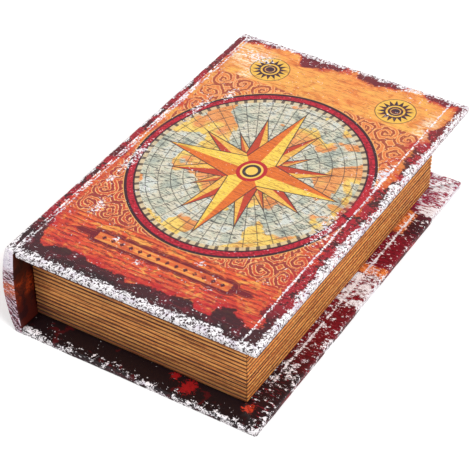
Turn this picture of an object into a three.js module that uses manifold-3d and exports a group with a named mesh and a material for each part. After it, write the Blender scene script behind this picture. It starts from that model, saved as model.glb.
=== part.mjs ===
// A hollow box made to look like an old book, lying on its back cover.
// X runs from the spine to the fore edge, Y from the tail to the head, Z up from the back cover.
// The origin is under the middle of the book, on the surface that it lies on.

import * as THREE from 'three';
import { RoundedBoxGeometry } from 'three/addons/geometries/RoundedBoxGeometry.js';
import { mergeVertices } from 'three/addons/utils/BufferGeometryUtils.js';
import Module from 'manifold-3d';

// Driving dimensions, in millimetres.
const bookLength = 240; // tail to head
const bookDepth = 157.5; // crown of the spine to the fore edge
const bookThickness = 59.5; // face of the back cover to face of the front cover

// Covered boards.
const boardThickness = 2.5;
const coveringThickness = 0.6;
const foldInnerRadius = 0.25; // inside the covering, where it folds over a board's edge
const foldSegments = 2; // on each half of a fold
const caseTurnInWidth = 19; // covering folded over onto the inner faces of the back board and the spine
const lidTurnInWidth = 30; // the same on the front board, where the lining's edge lies on it
const seatGap = 0.3; // glue line between pieces that are stuck to each other
const cutOverrun = 2; // how far a cutting tool runs past what it cuts

// Spine.
const spineEdgeThickness = 4.6; // over the covering, at its top and bottom edges
const spineOuterRise = 4.9; // crown of the outer face over its edges
const spineHollowDepth = 1.7; // middle of the inner face behind its edges
const spineArcSegments = 16; // in each half of an arc
const hingeGap = 1.4; // between the covered spine and the covered lid

// Page block.
const foreEdgeOverhang = 14; // boards past the fore edge of the pages
const endOverhang = 14.5; // boards past the tail and the head of the pages
const pageWallThickness = 9;
const spineSideWallThickness = 6;
const leafPitch = 2.65; // height of one bundle of leaves
const leafGrooveDepth = 0.6;
const leafArcSegments = 5;

// Magnets.
const magnetDiameter = 6;
const magnetSpacing = 120; // between the two pairs, along the fore edge
const caseMagnetThickness = 2;
const lidMagnetThickness = 1.5;
const magnetSegments = 32;

// Linings.
const wallLiningThickness = 1;
const floorLiningThickness = 1;
const lidLiningThickness = 1.5;
const liningRimDrop = 0.7; // wall linings stop this far below the rim
const lidLiningClearance = 1.5; // round the lid lining, inside the wall linings

// Levels and faces that follow from the sizes above.
const coveredBoardThickness = boardThickness + 2 * (coveringThickness + seatGap);
const skinDepth = coveringThickness + seatGap; // from a covered face to the board inside
const foldOuterRadius = coveringThickness + foldInnerRadius;
const lidUndersideZ = bookThickness - coveredBoardThickness;
const foreEdgeX = bookDepth / 2;
const spineChordX = spineOuterRise - bookDepth / 2; // outer edges of the spine
const spineInnerX = spineChordX + spineEdgeThickness;
const hingeX = spineInnerX + hingeGap / 2;
const lidSpineEdgeX = spineInnerX + hingeGap;
const backSpineEdgeX = spineInnerX + seatGap;
const tailY = -bookLength / 2;
const headY = bookLength / 2;
const blockForeX = foreEdgeX - foreEdgeOverhang;
const blockSpineX = backSpineEdgeX;
const blockTailY = tailY + endOverhang;
const blockHeadY = headY - endOverhang;
const blockBottomZ = coveredBoardThickness + seatGap;
const rimZ = lidUndersideZ - seatGap;
const trayForeX = blockForeX - pageWallThickness;
const traySpineX = blockSpineX + spineSideWallThickness;
const trayTailY = blockTailY + pageWallThickness;
const trayHeadY = blockHeadY - pageWallThickness;
const magnetX = (trayForeX + blockForeX - leafGrooveDepth) / 2;
const magnetPlaces = { tail_side: -magnetSpacing / 2, head_side: magnetSpacing / 2 };

const materials = {
  covering: { color: 0x8f2a1d, roughness: 0.45, metalness: 0 },
  board: { color: 0xa98458, roughness: 0.85, metalness: 0 },
  pages: { color: 0xb9834a, roughness: 0.6, metalness: 0 },
  lining: { color: 0x241f1e, roughness: 0.95, metalness: 0 },
  magnet: { color: 0xc9ccd0, roughness: 0.25, metalness: 1 },
};

const wasm = await Module();
wasm.setup();

// Turns a closed geometry into a solid that can be cut.
function toSolid(geometry) {
  const bare = geometry.clone();
  bare.deleteAttribute('normal');
  bare.deleteAttribute('uv');
  const merged = mergeVertices(bare);
  return new wasm.Manifold(new wasm.Mesh({
    numProp: 3,
    vertProperties: new Float32Array(merged.attributes.position.array),
    triVerts: new Uint32Array(merged.index.array),
  }));
}

// Turns a cut solid back into a flat-shaded geometry.
function toGeometry(solid) {
  const mesh = solid.getMesh();
  const indexed = new THREE.BufferGeometry();
  const places = new Float32Array(mesh.vertProperties);
  indexed.setAttribute('position', new THREE.BufferAttribute(places, mesh.numProp));
  indexed.setIndex(new THREE.BufferAttribute(new Uint32Array(mesh.triVerts), 1));
  const flat = indexed.toNonIndexed();
  flat.computeVertexNormals();
  return flat;
}

// Cuts every tool out of a body.
function cutAway(body, tools) {
  const cut = tools.reduce((solid, tool) => solid.subtract(toSolid(tool)), toSolid(body));
  return toGeometry(cut);
}

// A box between two corners.
function boxBetween(low, high) {
  const size = high.clone().sub(low);
  const middle = low.clone().add(high).multiplyScalar(0.5);
  return new THREE.BoxGeometry(size.x, size.y, size.z).translate(middle.x, middle.y, middle.z);
}

// A box between two corners, with the round edges and corners of a sheet folded over a board.
function foldedBox(low, high, radius) {
  const size = high.clone().sub(low);
  const middle = low.clone().add(high).multiplyScalar(0.5);
  const box = new RoundedBoxGeometry(size.x, size.y, size.z, foldSegments, radius);
  return box.translate(middle.x, middle.y, middle.z);
}

function point(x, y, z) {
  return new THREE.Vector3(x, y, z);
}

function namedMesh(name, geometry, material) {
  const mesh = new THREE.Mesh(geometry, new THREE.MeshStandardMaterial(materials[material]));
  mesh.name = name;
  return mesh;
}

// The bare board that lies inside a covering, inset from the covered faces.
function bareBoard(spineX, bottomZ) {
  const low = point(spineX, tailY + skinDepth, bottomZ + skinDepth);
  const high = point(foreEdgeX - skinDepth, headY - skinDepth, bottomZ + skinDepth + boardThickness);
  return boxBetween(low, high);
}

// Thin slits along the diagonals of a turned-in covering, where its corners are mitred.
// Each starts inside the fold at a board's corner and runs past the turn-in's inner corner.
function mitreSlits(corners, turnInWidth, fromZ, toZ) {
  return corners.map(([x, y]) => {
    const slit = new THREE.BoxGeometry(Math.SQRT2 * turnInWidth, seatGap, toZ - fromZ);
    slit.rotateZ(Math.atan2(Math.sign(y), Math.sign(x)));
    const inward = coveringThickness + turnInWidth / 2;
    return slit.translate(x - Math.sign(x) * inward, y - Math.sign(y) * inward, (fromZ + toZ) / 2);
  });
}

// Covering of the back board: under it, over its three free edges and turned in on top.
// It is drawn past the spine edge, which isn't folded over, and cut off square there.
function backCoverWrap() {
  const drawnFromX = backSpineEdgeX - foldOuterRadius - cutOverrun;
  const wrap = foldedBox(
    point(drawnFromX, tailY, 0),
    point(foreEdgeX, headY, coveredBoardThickness),
    foldOuterRadius,
  );
  const cavity = foldedBox(
    point(drawnFromX, tailY, 0).addScalar(coveringThickness),
    point(foreEdgeX, headY, coveredBoardThickness).subScalar(coveringThickness),
    foldInnerRadius,
  );
  const squareEnd = boxBetween(
    point(drawnFromX - cutOverrun, tailY - cutOverrun, -cutOverrun),
    point(backSpineEdgeX, headY + cutOverrun, coveredBoardThickness + cutOverrun),
  );
  const window = boxBetween(
    point(backSpineEdgeX - cutOverrun, tailY + caseTurnInWidth, coveringThickness),
    point(foreEdgeX - caseTurnInWidth, headY - caseTurnInWidth, coveredBoardThickness + cutOverrun),
  );
  const slits = mitreSlits(
    [[foreEdgeX, tailY], [foreEdgeX, headY]],
    caseTurnInWidth,
    coveredBoardThickness / 2,
    coveredBoardThickness + cutOverrun,
  );
  return cutAway(wrap, [squareEnd, cavity, window, ...slits]);
}

// Covering of the front board: over it, round all four edges and turned in underneath.
function frontCoverWrap() {
  const wrap = foldedBox(
    point(lidSpineEdgeX, tailY, lidUndersideZ),
    point(foreEdgeX, headY, bookThickness),
    foldOuterRadius,
  );
  const cavity = foldedBox(
    point(lidSpineEdgeX, tailY, lidUndersideZ).addScalar(coveringThickness),
    point(foreEdgeX, headY, bookThickness).subScalar(coveringThickness),
    foldInnerRadius,
  );
  const window = boxBetween(
    point(lidSpineEdgeX + lidTurnInWidth, tailY + lidTurnInWidth, lidUndersideZ - cutOverrun),
    point(foreEdgeX - lidTurnInWidth, headY - lidTurnInWidth, bookThickness - coveringThickness),
  );
  const slits = mitreSlits(
    [[foreEdgeX, tailY], [foreEdgeX, headY], [lidSpineEdgeX, tailY], [lidSpineEdgeX, headY]],
    lidTurnInWidth,
    lidUndersideZ - cutOverrun,
    lidUndersideZ + coveredBoardThickness / 2,
  );
  return cutAway(wrap, [cavity, window, ...slits]);
}

// Radius of a circular arc from its chord and its rise.
function arcRadius(chord, rise) {
  return (chord * chord / 4 + rise * rise) / (2 * rise);
}

// Cross-section of the spine in X and Z, drawn inside its covered outline by an inset.
// Its outer face is an arc, and its inner face is hollow between the two boards.
function spineSection(inset) {
  const lowZ = inset;
  const highZ = bookThickness - inset;
  const middleZ = bookThickness / 2;
  const crownRadius = arcRadius(bookThickness, spineOuterRise);
  const crownCentreX = spineChordX - spineOuterRise + crownRadius;
  const outerRadius = crownRadius - inset;
  const outerAngle = Math.asin((middleZ - inset) / outerRadius);
  const hollowHeight = lidUndersideZ - coveredBoardThickness;
  const hollowRadius = arcRadius(hollowHeight, spineHollowDepth);
  const hollowCentreX = spineInnerX - spineHollowDepth + hollowRadius;
  const innerRadius = hollowRadius + inset;
  const innerAngle = Math.acos((hollowCentreX - spineInnerX + inset) / innerRadius);
  const section = new THREE.Shape();
  section.moveTo(spineInnerX - inset, highZ);
  section.lineTo(crownCentreX - outerRadius * Math.cos(outerAngle), highZ);
  section.absarc(crownCentreX, middleZ, outerRadius, Math.PI - outerAngle, Math.PI + outerAngle, false);
  section.lineTo(spineInnerX - inset, lowZ);
  section.absarc(hollowCentreX, middleZ, innerRadius, Math.PI + innerAngle, Math.PI - innerAngle, true);
  section.closePath();
  return section;
}

// The spine's cross-section drawn out along Y, with both ends set in by the same inset
// and the edges of the ends rounded where a radius is given.
function spineBar(inset, endRadius = 0) {
  const length = bookLength - 2 * inset;
  const bar = new THREE.ExtrudeGeometry(spineSection(inset), {
    depth: length - 2 * endRadius,
    steps: 1,
    bevelEnabled: endRadius > 0,
    bevelThickness: endRadius,
    bevelSize: endRadius,
    bevelOffset: -endRadius,
    bevelSegments: 2 * foldSegments,
    curveSegments: spineArcSegments,
  });
  return bar.rotateX(Math.PI / 2).translate(0, length / 2 - endRadius, 0);
}

// Covering of the spine: round its outer face, edges and ends, turned in at the two ends only.
function spineCoverWrap() {
  const window = boxBetween(
    point(spineInnerX - spineHollowDepth - skinDepth, tailY + caseTurnInWidth, coveredBoardThickness),
    point(spineInnerX + cutOverrun, headY - caseTurnInWidth, lidUndersideZ),
  );
  return cutAway(spineBar(0, foldOuterRadius), [spineBar(coveringThickness, foldInnerRadius), window]);
}

// Cross-section of a page wall: height along the second axis, and the leaves on the side
// that faces along the first axis, as a row of rounded ridges with a groove between each two.
function leafSection(height) {
  const leafCount = Math.round(height / leafPitch);
  const leafHeight = height / leafCount;
  const ridgeReach = leafGrooveDepth / 3;
  const section = new THREE.Shape();
  section.moveTo(-pageWallThickness, 0);
  section.lineTo(-leafGrooveDepth, 0);
  for (let leaf = 0; leaf < leafCount; leaf += 1) {
    const foot = leaf * leafHeight;
    const head = foot + leafHeight;
    section.bezierCurveTo(ridgeReach, foot, ridgeReach, head, -leafGrooveDepth, head);
  }
  section.lineTo(-pageWallThickness, height);
  section.closePath();
  return section;
}

// A page wall along Y whose leaves face along X, with its outer face on X = 0.
// A mitred end is cut at 45 degrees through the wall's outer corner, and a square end isn't.
function pageWall(tailEnd, headEnd, mitredTail, mitredHead) {
  const wall = new THREE.ExtrudeGeometry(leafSection(rimZ - blockBottomZ), {
    depth: 1,
    steps: 1,
    bevelEnabled: false,
    curveSegments: leafArcSegments,
  });
  wall.rotateX(Math.PI / 2).translate(0, 1, 0);
  const setback = seatGap / Math.SQRT2;
  const place = wall.attributes.position;
  for (let i = 0; i < place.count; i += 1) {
    const inward = -place.getX(i);
    const tailCut = mitredTail ? inward + setback : 0;
    const headCut = mitredHead ? inward + setback : 0;
    place.setY(i, THREE.MathUtils.lerp(tailEnd + tailCut, headEnd - headCut, place.getY(i)));
  }
  wall.computeVertexNormals();
  return wall;
}

// The tail and head page walls, whose spine ends stand square against the spine.
function endPageWall(name, isTail) {
  const length = blockForeX - blockSpineX;
  const geometry = isTail ? pageWall(0, length, false, true) : pageWall(0, length, true, false);
  const mesh = namedMesh(name, geometry, 'pages');
  mesh.rotation.z = isTail ? -Math.PI / 2 : Math.PI / 2;
  mesh.position.set(isTail ? blockSpineX : blockForeX, isTail ? blockTailY : blockHeadY, blockBottomZ);
  return mesh;
}

// An upright disc, with its lower face at a given level.
function disc(diameter, thickness, x, y, bottomZ) {
  const cylinder = new THREE.CylinderGeometry(diameter / 2, diameter / 2, thickness, magnetSegments);
  return cylinder.rotateX(Math.PI / 2).translate(x, y, bottomZ + thickness / 2);
}

// The fore-edge page wall, with a pocket in its rim for each magnet.
function foreEdgePageWall() {
  const blockLength = blockHeadY - blockTailY;
  const wall = pageWall(-blockLength / 2, blockLength / 2, true, true);
  const pocketDepth = caseMagnetThickness + seatGap;
  const height = rimZ - blockBottomZ;
  const pockets = Object.values(magnetPlaces).map((y) => disc(
    magnetDiameter + 2 * seatGap,
    pocketDepth + cutOverrun,
    magnetX - blockForeX,
    y,
    height - pocketDepth,
  ));
  const mesh = namedMesh('fore_edge_page_wall', cutAway(wall, pockets), 'pages');
  mesh.position.set(blockForeX, 0, blockBottomZ);
  return mesh;
}

// The plain wall behind the spine, between the tail and head walls.
function spineSideWall() {
  const low = point(blockSpineX, trayTailY + seatGap, blockBottomZ);
  const high = point(traySpineX, trayHeadY - seatGap, rimZ);
  return namedMesh('spine_side_wall', boxBetween(low, high), 'board');
}

// The front board, with a pocket in its underside for each magnet.
function frontBoard() {
  const board = bareBoard(lidSpineEdgeX + skinDepth, lidUndersideZ);
  const undersideZ = lidUndersideZ + skinDepth;
  const pocketDepth = lidMagnetThickness + seatGap;
  const pockets = Object.values(magnetPlaces).map((y) => disc(
    magnetDiameter + 2 * seatGap,
    pocketDepth + cutOverrun,
    magnetX,
    y,
    undersideZ - cutOverrun,
  ));
  return namedMesh('front_board', cutAway(board, pockets), 'board');
}

function caseMagnets() {
  return Object.entries(magnetPlaces).map(([side, y]) => {
    const geometry = disc(magnetDiameter, caseMagnetThickness, 0, 0, -caseMagnetThickness);
    const mesh = namedMesh(`${side}_case_magnet`, geometry, 'magnet');
    mesh.position.set(magnetX, y, rimZ);
    return mesh;
  });
}

function lidMagnets() {
  return Object.entries(magnetPlaces).map(([side, y]) => {
    const geometry = disc(magnetDiameter, lidMagnetThickness, 0, 0, 0);
    const mesh = namedMesh(`${side}_lid_magnet`, geometry, 'magnet');
    mesh.position.set(magnetX, y, lidUndersideZ + skinDepth);
    return mesh;
  });
}

// Cards on the tray's floor and on its four walls.
function trayLinings() {
  const floorBottomZ = skinDepth + boardThickness + seatGap;
  const floorTopZ = floorBottomZ + floorLiningThickness;
  const wallBottomZ = floorTopZ + seatGap;
  const wallTopZ = rimZ - liningRimDrop;
  const tail = trayTailY + seatGap;
  const head = trayHeadY - seatGap;
  const spine = traySpineX + seatGap;
  const fore = trayForeX - seatGap;
  const tailFace = tail + wallLiningThickness;
  const headFace = head - wallLiningThickness;
  const spineFace = spine + wallLiningThickness;
  const foreFace = fore - wallLiningThickness;
  const sideTail = tailFace + seatGap;
  const sideHead = headFace - seatGap;
  const cards = {
    floor_lining: [point(spine, tail, floorBottomZ), point(fore, head, floorTopZ)],
    tail_lining: [point(spine, tail, wallBottomZ), point(fore, tailFace, wallTopZ)],
    head_lining: [point(spine, headFace, wallBottomZ), point(fore, head, wallTopZ)],
    fore_edge_lining: [point(foreFace, sideTail, wallBottomZ), point(fore, sideHead, wallTopZ)],
    spine_side_lining: [point(spine, sideTail, wallBottomZ), point(spineFace, sideHead, wallTopZ)],
  };
  return Object.entries(cards).map(([name, [low, high]]) => namedMesh(name, boxBetween(low, high), 'lining'));
}

// The card on the lid's underside, which drops into the tray inside its wall linings.
function lidLining() {
  const inset = seatGap + wallLiningThickness + lidLiningClearance;
  const topZ = lidUndersideZ - seatGap;
  const low = point(traySpineX + inset, trayTailY + inset, topZ - lidLiningThickness);
  const high = point(trayForeX - inset, trayHeadY - inset, topZ);
  return namedMesh('lid_lining', boxBetween(low, high), 'lining');
}

// The bare stretch of covering between the spine and the lid, which bends as the lid opens.
function hingeCloth() {
  const low = point(spineInnerX + seatGap, tailY, bookThickness - coveringThickness);
  const high = point(lidSpineEdgeX - seatGap, headY, bookThickness);
  return namedMesh('hinge_cloth', boxBetween(low, high), 'covering');
}

function buildCase() {
  const body = new THREE.Group();
  body.add(
    namedMesh('back_board', bareBoard(backSpineEdgeX, 0), 'board'),
    namedMesh('back_cover_wrap', backCoverWrap(), 'covering'),
    namedMesh('spine_board', spineBar(skinDepth), 'board'),
    namedMesh('spine_cover_wrap', spineCoverWrap(), 'covering'),
    endPageWall('tail_page_wall', true),
    endPageWall('head_page_wall', false),
    foreEdgePageWall(),
    spineSideWall(),
    ...trayLinings(),
    ...caseMagnets(),
    hingeCloth(),
  );
  return body;
}

// The lid is drawn closed. It turns about the line x = hingeX on the top face.
function buildLid() {
  const hinge = new THREE.Group();
  hinge.position.set(hingeX, 0, bookThickness);
  const pieces = [
    frontBoard(),
    namedMesh('front_cover_wrap', frontCoverWrap(), 'covering'),
    lidLining(),
    ...lidMagnets(),
  ];
  pieces.forEach((piece) => {
    piece.position.sub(hinge.position);
    hinge.add(piece);
  });
  return hinge;
}

const book = new THREE.Group();
book.add(buildCase(), buildLid());

export default book;
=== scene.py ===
"""A hollow box made to look like an old book: its printed covers, spine, page block and lining.

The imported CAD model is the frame. X runs from the spine to the fore edge, Y from the
tail to the head, Z up from the back cover. Sizes here are in metres unless a name says mm.
"""

import logging
import math
from dataclasses import dataclass, field
from enum import Enum
from typing import Any, Callable, Iterable, Mapping, Optional, Sequence, Union

import bmesh
import bpy
from mathutils import Matrix, Vector, noise


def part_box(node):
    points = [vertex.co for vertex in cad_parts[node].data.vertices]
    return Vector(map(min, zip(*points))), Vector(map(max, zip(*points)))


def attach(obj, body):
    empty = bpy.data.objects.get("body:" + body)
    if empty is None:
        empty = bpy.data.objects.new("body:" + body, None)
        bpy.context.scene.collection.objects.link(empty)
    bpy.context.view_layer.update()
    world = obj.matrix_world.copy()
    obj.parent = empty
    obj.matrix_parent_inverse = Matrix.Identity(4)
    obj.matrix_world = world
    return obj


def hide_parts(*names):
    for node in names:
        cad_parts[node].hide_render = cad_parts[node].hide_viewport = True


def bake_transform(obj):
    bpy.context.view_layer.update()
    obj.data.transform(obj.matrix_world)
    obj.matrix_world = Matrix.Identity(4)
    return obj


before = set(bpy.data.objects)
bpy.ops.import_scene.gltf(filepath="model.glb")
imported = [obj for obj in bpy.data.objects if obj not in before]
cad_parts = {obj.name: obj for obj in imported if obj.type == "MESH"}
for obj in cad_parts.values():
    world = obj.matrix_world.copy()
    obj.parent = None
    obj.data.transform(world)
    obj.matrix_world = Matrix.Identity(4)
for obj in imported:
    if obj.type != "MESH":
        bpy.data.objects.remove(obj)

log = logging.getLogger("book_box")

MM = 0.001
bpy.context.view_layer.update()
LID_LOW, LID_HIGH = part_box("front_cover_wrap")

# Points closer than this are one point.
SAME_PLACE = 1e-6

# A cut that passes a point closer than this goes through it.
CUT_REACH = 1e-7
MITRE_REACH = 5e-6

# Added to an angle's count of sectors, so that a sector's middle lies on the X axis.
SECTOR_SHIFT = 64.5

# Sets the unevenness of the handmade pieces, which would change with each run without it.
NOISE_SEED = 7


def srgb(red: int, green: int, blue: int) -> tuple[float, float, float, float]:
    """The linear colour of an sRGB colour given in 0 to 255."""

    def linear(level: float) -> float:
        """One channel, made linear."""
        level /= 255
        return level / 12.92 if level <= 0.04045 else ((level + 0.055) / 1.055) ** 2.4

    return linear(red), linear(green), linear(blue), 1.0


class Signal:
    """A number that varies over a surface: a node's socket, with arithmetic that adds Math nodes."""

    def __init__(self, wiring: "Wiring", socket: bpy.types.NodeSocket) -> None:
        """Wraps a socket of a node tree."""
        self.wiring = wiring
        self.socket = socket

    def __add__(self, other: "Number") -> "Signal":
        """Sum."""
        return self.wiring.math("ADD", self, other)

    def __radd__(self, other: "Number") -> "Signal":
        """Sum, with the signal on the right."""
        return self.wiring.math("ADD", other, self)

    def __sub__(self, other: "Number") -> "Signal":
        """Difference."""
        return self.wiring.math("SUBTRACT", self, other)

    def __rsub__(self, other: "Number") -> "Signal":
        """Difference, with the signal on the right."""
        return self.wiring.math("SUBTRACT", other, self)

    def __mul__(self, other: "Number") -> "Signal":
        """Product."""
        return self.wiring.math("MULTIPLY", self, other)

    def __rmul__(self, other: "Number") -> "Signal":
        """Product, with the signal on the right."""
        return self.wiring.math("MULTIPLY", other, self)

    def __truediv__(self, other: "Number") -> "Signal":
        """Quotient."""
        return self.wiring.math("DIVIDE", self, other)

    def __abs__(self) -> "Signal":
        """Size without the sign."""
        return self.wiring.math("ABSOLUTE", self)


Number = Union[float, Signal]
Colour = tuple[float, float, float, float]
Tint = Union[bpy.types.NodeSocket, Colour]
Stops = Sequence[tuple[float, Colour]]
Spots = Sequence[tuple[float, float, float, float]]
Form = bmesh.types.BMesh


class Wiring:
    """A node tree, with one way to add a node to it and the sums that every tree shares."""

    def __init__(self, tree: bpy.types.NodeTree) -> None:
        """Holds the tree of a material or of the world."""
        self.tree = tree

    def wire(self, made: bpy.types.Node, sockets: Mapping[Union[int, str], Any]) -> None:
        """Sets or links inputs of a node.

        Args:
            made: The node.
            sockets: The number, the signal or the socket that each input takes.
        """
        for key, value in sockets.items():
            if isinstance(value, Signal):
                value = value.socket
            if isinstance(value, bpy.types.NodeSocket):
                self.tree.links.new(value, made.inputs[key])
            else:
                made.inputs[key].default_value = value

    def node(
        self,
        kind: str,
        settings: Optional[Mapping[str, Any]] = None,
        sockets: Optional[Mapping[Union[int, str], Any]] = None,
    ) -> bpy.types.Node:
        """Adds a node.

        Args:
            kind: The node's type.
            settings: Its properties, set first. "stops" is a ramp's list of place and colour.
            sockets: The number, the signal or the socket of each input that isn't left as it is.

        Returns:
            The node.
        """
        made = self.tree.nodes.new(kind)
        for key, value in (settings or {}).items():
            if key == "stops":
                while len(made.color_ramp.elements) < len(value):
                    made.color_ramp.elements.new(1.0)
                for element, (place, tint) in zip(made.color_ramp.elements, value):
                    element.position, element.color = place, tint
            else:
                setattr(made, key, value)
        self.wire(made, sockets or {})
        return made

    def math(self, operation: str, *terms: Number) -> Signal:
        """A Math node on up to three terms."""
        made = self.node("ShaderNodeMath", {"operation": operation}, dict(enumerate(terms)))
        return Signal(self, made.outputs[0])

    def least(self, first: Number, *others: Number) -> Signal:
        """The smallest of its terms."""
        for other in others:
            first = self.math("MINIMUM", first, other)
        return first

    def most(self, first: Number, *others: Number) -> Signal:
        """The largest of its terms."""
        for other in others:
            first = self.math("MAXIMUM", first, other)
        return first


class Bench(Wiring):
    """The node tree of one finish, with the book's millimetres and the patterns that finishes share."""

    def __init__(self, name: str) -> None:
        """Starts a material whose only nodes are its shader and its output.

        Args:
            name: The finish's name.
        """
        self.material = bpy.data.materials.new(name)
        self.material.use_nodes = True
        super().__init__(self.material.node_tree)
        self.shader = next(n for n in self.tree.nodes if n.type == "BSDF_PRINCIPLED")
        place = self.node("ShaderNodeTexCoord").outputs["Object"]
        self.place = self.node(
            "ShaderNodeVectorMath", {"operation": "SCALE"}, {0: place, "Scale": 1 / MM}
        ).outputs[0]
        split = self.node("ShaderNodeSeparateXYZ", {}, {0: self.place})
        self.x, self.y, self.z = (Signal(self, split.outputs[i]) for i in range(3))

    def rise(self, value: Number, low: float, high: float) -> Signal:
        """Eases from 0 at low to 1 at high. It falls instead where low is above high."""
        made = self.node(
            "ShaderNodeMapRange",
            {"interpolation_type": "SMOOTHSTEP"},
            {0: value, 1: low, 2: high, 3: 0.0, 4: 1.0},
        )
        return Signal(self, made.outputs[0])

    def stripe(self, value: Number, half: float, soft: float = 0.12) -> Signal:
        """1 where a value lies within half of 0, with a soft edge."""
        return self.rise(self.math("ABSOLUTE", value), half + soft, half - soft)

    def length(self, across: Number, up: Number) -> Signal:
        """The distance from the middle of two coordinates."""
        return self.math("SQRT", across * across + up * up)

    def sawtooth(self, value: Signal, pitch: float) -> Signal:
        """How far a value is from the nearest half pitch: 0 there, and half a pitch at most."""
        return abs(self.math("FRACT", value / pitch) - 0.5) * pitch

    def grain(
        self,
        scales: Union[float, Sequence[float]],
        detail: float = 3.0,
        roughness: float = 0.55,
        distortion: float = 0.0,
        shift: float = 0.0,
    ) -> Signal:
        """Noise over the surface, about 0.5 in the mean.

        Args:
            scales: Waves per mm, or one such number for each axis.
            detail: How many finer layers it has.
            roughness: How strong the finer layers are.
            distortion: How far the noise bends itself.
            shift: Moves it, so that two noises of one scale differ.

        Returns:
            The noise.
        """
        each = (scales,) * 3 if isinstance(scales, (int, float)) else tuple(scales)
        place = self.node(
            "ShaderNodeVectorMath",
            {"operation": "MULTIPLY_ADD"},
            {0: self.place, 1: each, 2: (shift, shift * 0.7, shift * 0.3)},
        ).outputs[0]
        made = self.node(
            "ShaderNodeTexNoise",
            {},
            {
                "Vector": place,
                "Scale": 1.0,
                "Detail": detail,
                "Roughness": roughness,
                "Distortion": distortion,
            },
        )
        return Signal(self, made.outputs[0])

    def ramp(self, value: Number, stops: Stops) -> bpy.types.NodeSocket:
        """A colour ramp over a value from 0 to 1."""
        return self.node("ShaderNodeValToRGB", {"stops": stops}, {0: value}).outputs[0]

    def paint(self, under: Tint, over: Tint, cover: Number) -> bpy.types.NodeSocket:
        """One colour over another.

        Args:
            under: The colour beneath.
            over: The colour on top.
            cover: How much of it covers, from 0 to 1.

        Returns:
            The mixed colour.
        """
        made = self.node(
            "ShaderNodeMix",
            {"data_type": "RGBA", "clamp_factor": True},
            {0: cover, 6: under, 7: over},
        )
        return made.outputs[2]

    def coats(self, colour: Tint, *layers: tuple[Tint, Number]) -> bpy.types.NodeSocket:
        """Several colours over one another.

        Args:
            colour: The colour beneath.
            *layers: Each colour on top, from the lowest up, and how much of it covers.

        Returns:
            The mixed colour.
        """
        for over, cover in layers:
            colour = self.paint(colour, over, cover)
        return colour

    def relief(self, height: Number, distance: float, strength: float = 1.0) -> bpy.types.NodeSocket:
        """A bumped normal, from a height of 0 to 1 that stands for a distance in mm."""
        made = self.node(
            "ShaderNodeBump",
            {},
            {"Height": height, "Distance": distance * MM, "Strength": strength},
        )
        return made.outputs["Normal"]

    def finish(
        self,
        colour: Tint,
        roughness: Number,
        normal: bpy.types.NodeSocket,
        **constants: float,
    ) -> bpy.types.Material:
        """Joins the finished layers to the shader.

        Args:
            colour: The base colour.
            roughness: The roughness.
            normal: The bumped normal.
            **constants: Values of the shader's other sockets, with _ for a space in the name.

        Returns:
            The material.
        """
        self.wire(self.shader, {"Base Color": colour, "Roughness": roughness, "Normal": normal})
        self.wire(self.shader, {name.replace("_", " "): value for name, value in constants.items()})
        return self.material


class CoverSide(Enum):
    """Which part of the book a piece of the printed covering lies on."""

    FRONT = "front"
    SPINE = "spine"
    BACK = "back"


@dataclass(frozen=True)
class Layers:
    """What one side's print hands on to the wear.

    Attributes:
        colour: The unworn print.
        edge_mm: The distance from the worn edges.
        guard: How much harder than elsewhere a place is to wear.
        scratch: 1 on a scratch.
        pleats: The height of gathers in the sheet.
        spotting: How strongly specks of print survive in the white.
    """

    colour: bpy.types.NodeSocket
    edge_mm: Signal
    guard: Number = 0.0
    scratch: Number = 0.0
    pleats: Number = 0.0
    spotting: Number = 0.95


@dataclass(frozen=True)
class Star:
    """A star: its points, the reach of its tips and of its notches, and its tints.

    It is turned by a share of a point.
    """

    points: int
    reach_mm: float
    notch_mm: float
    turned: float
    dark: Colour
    light: Colour


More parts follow.
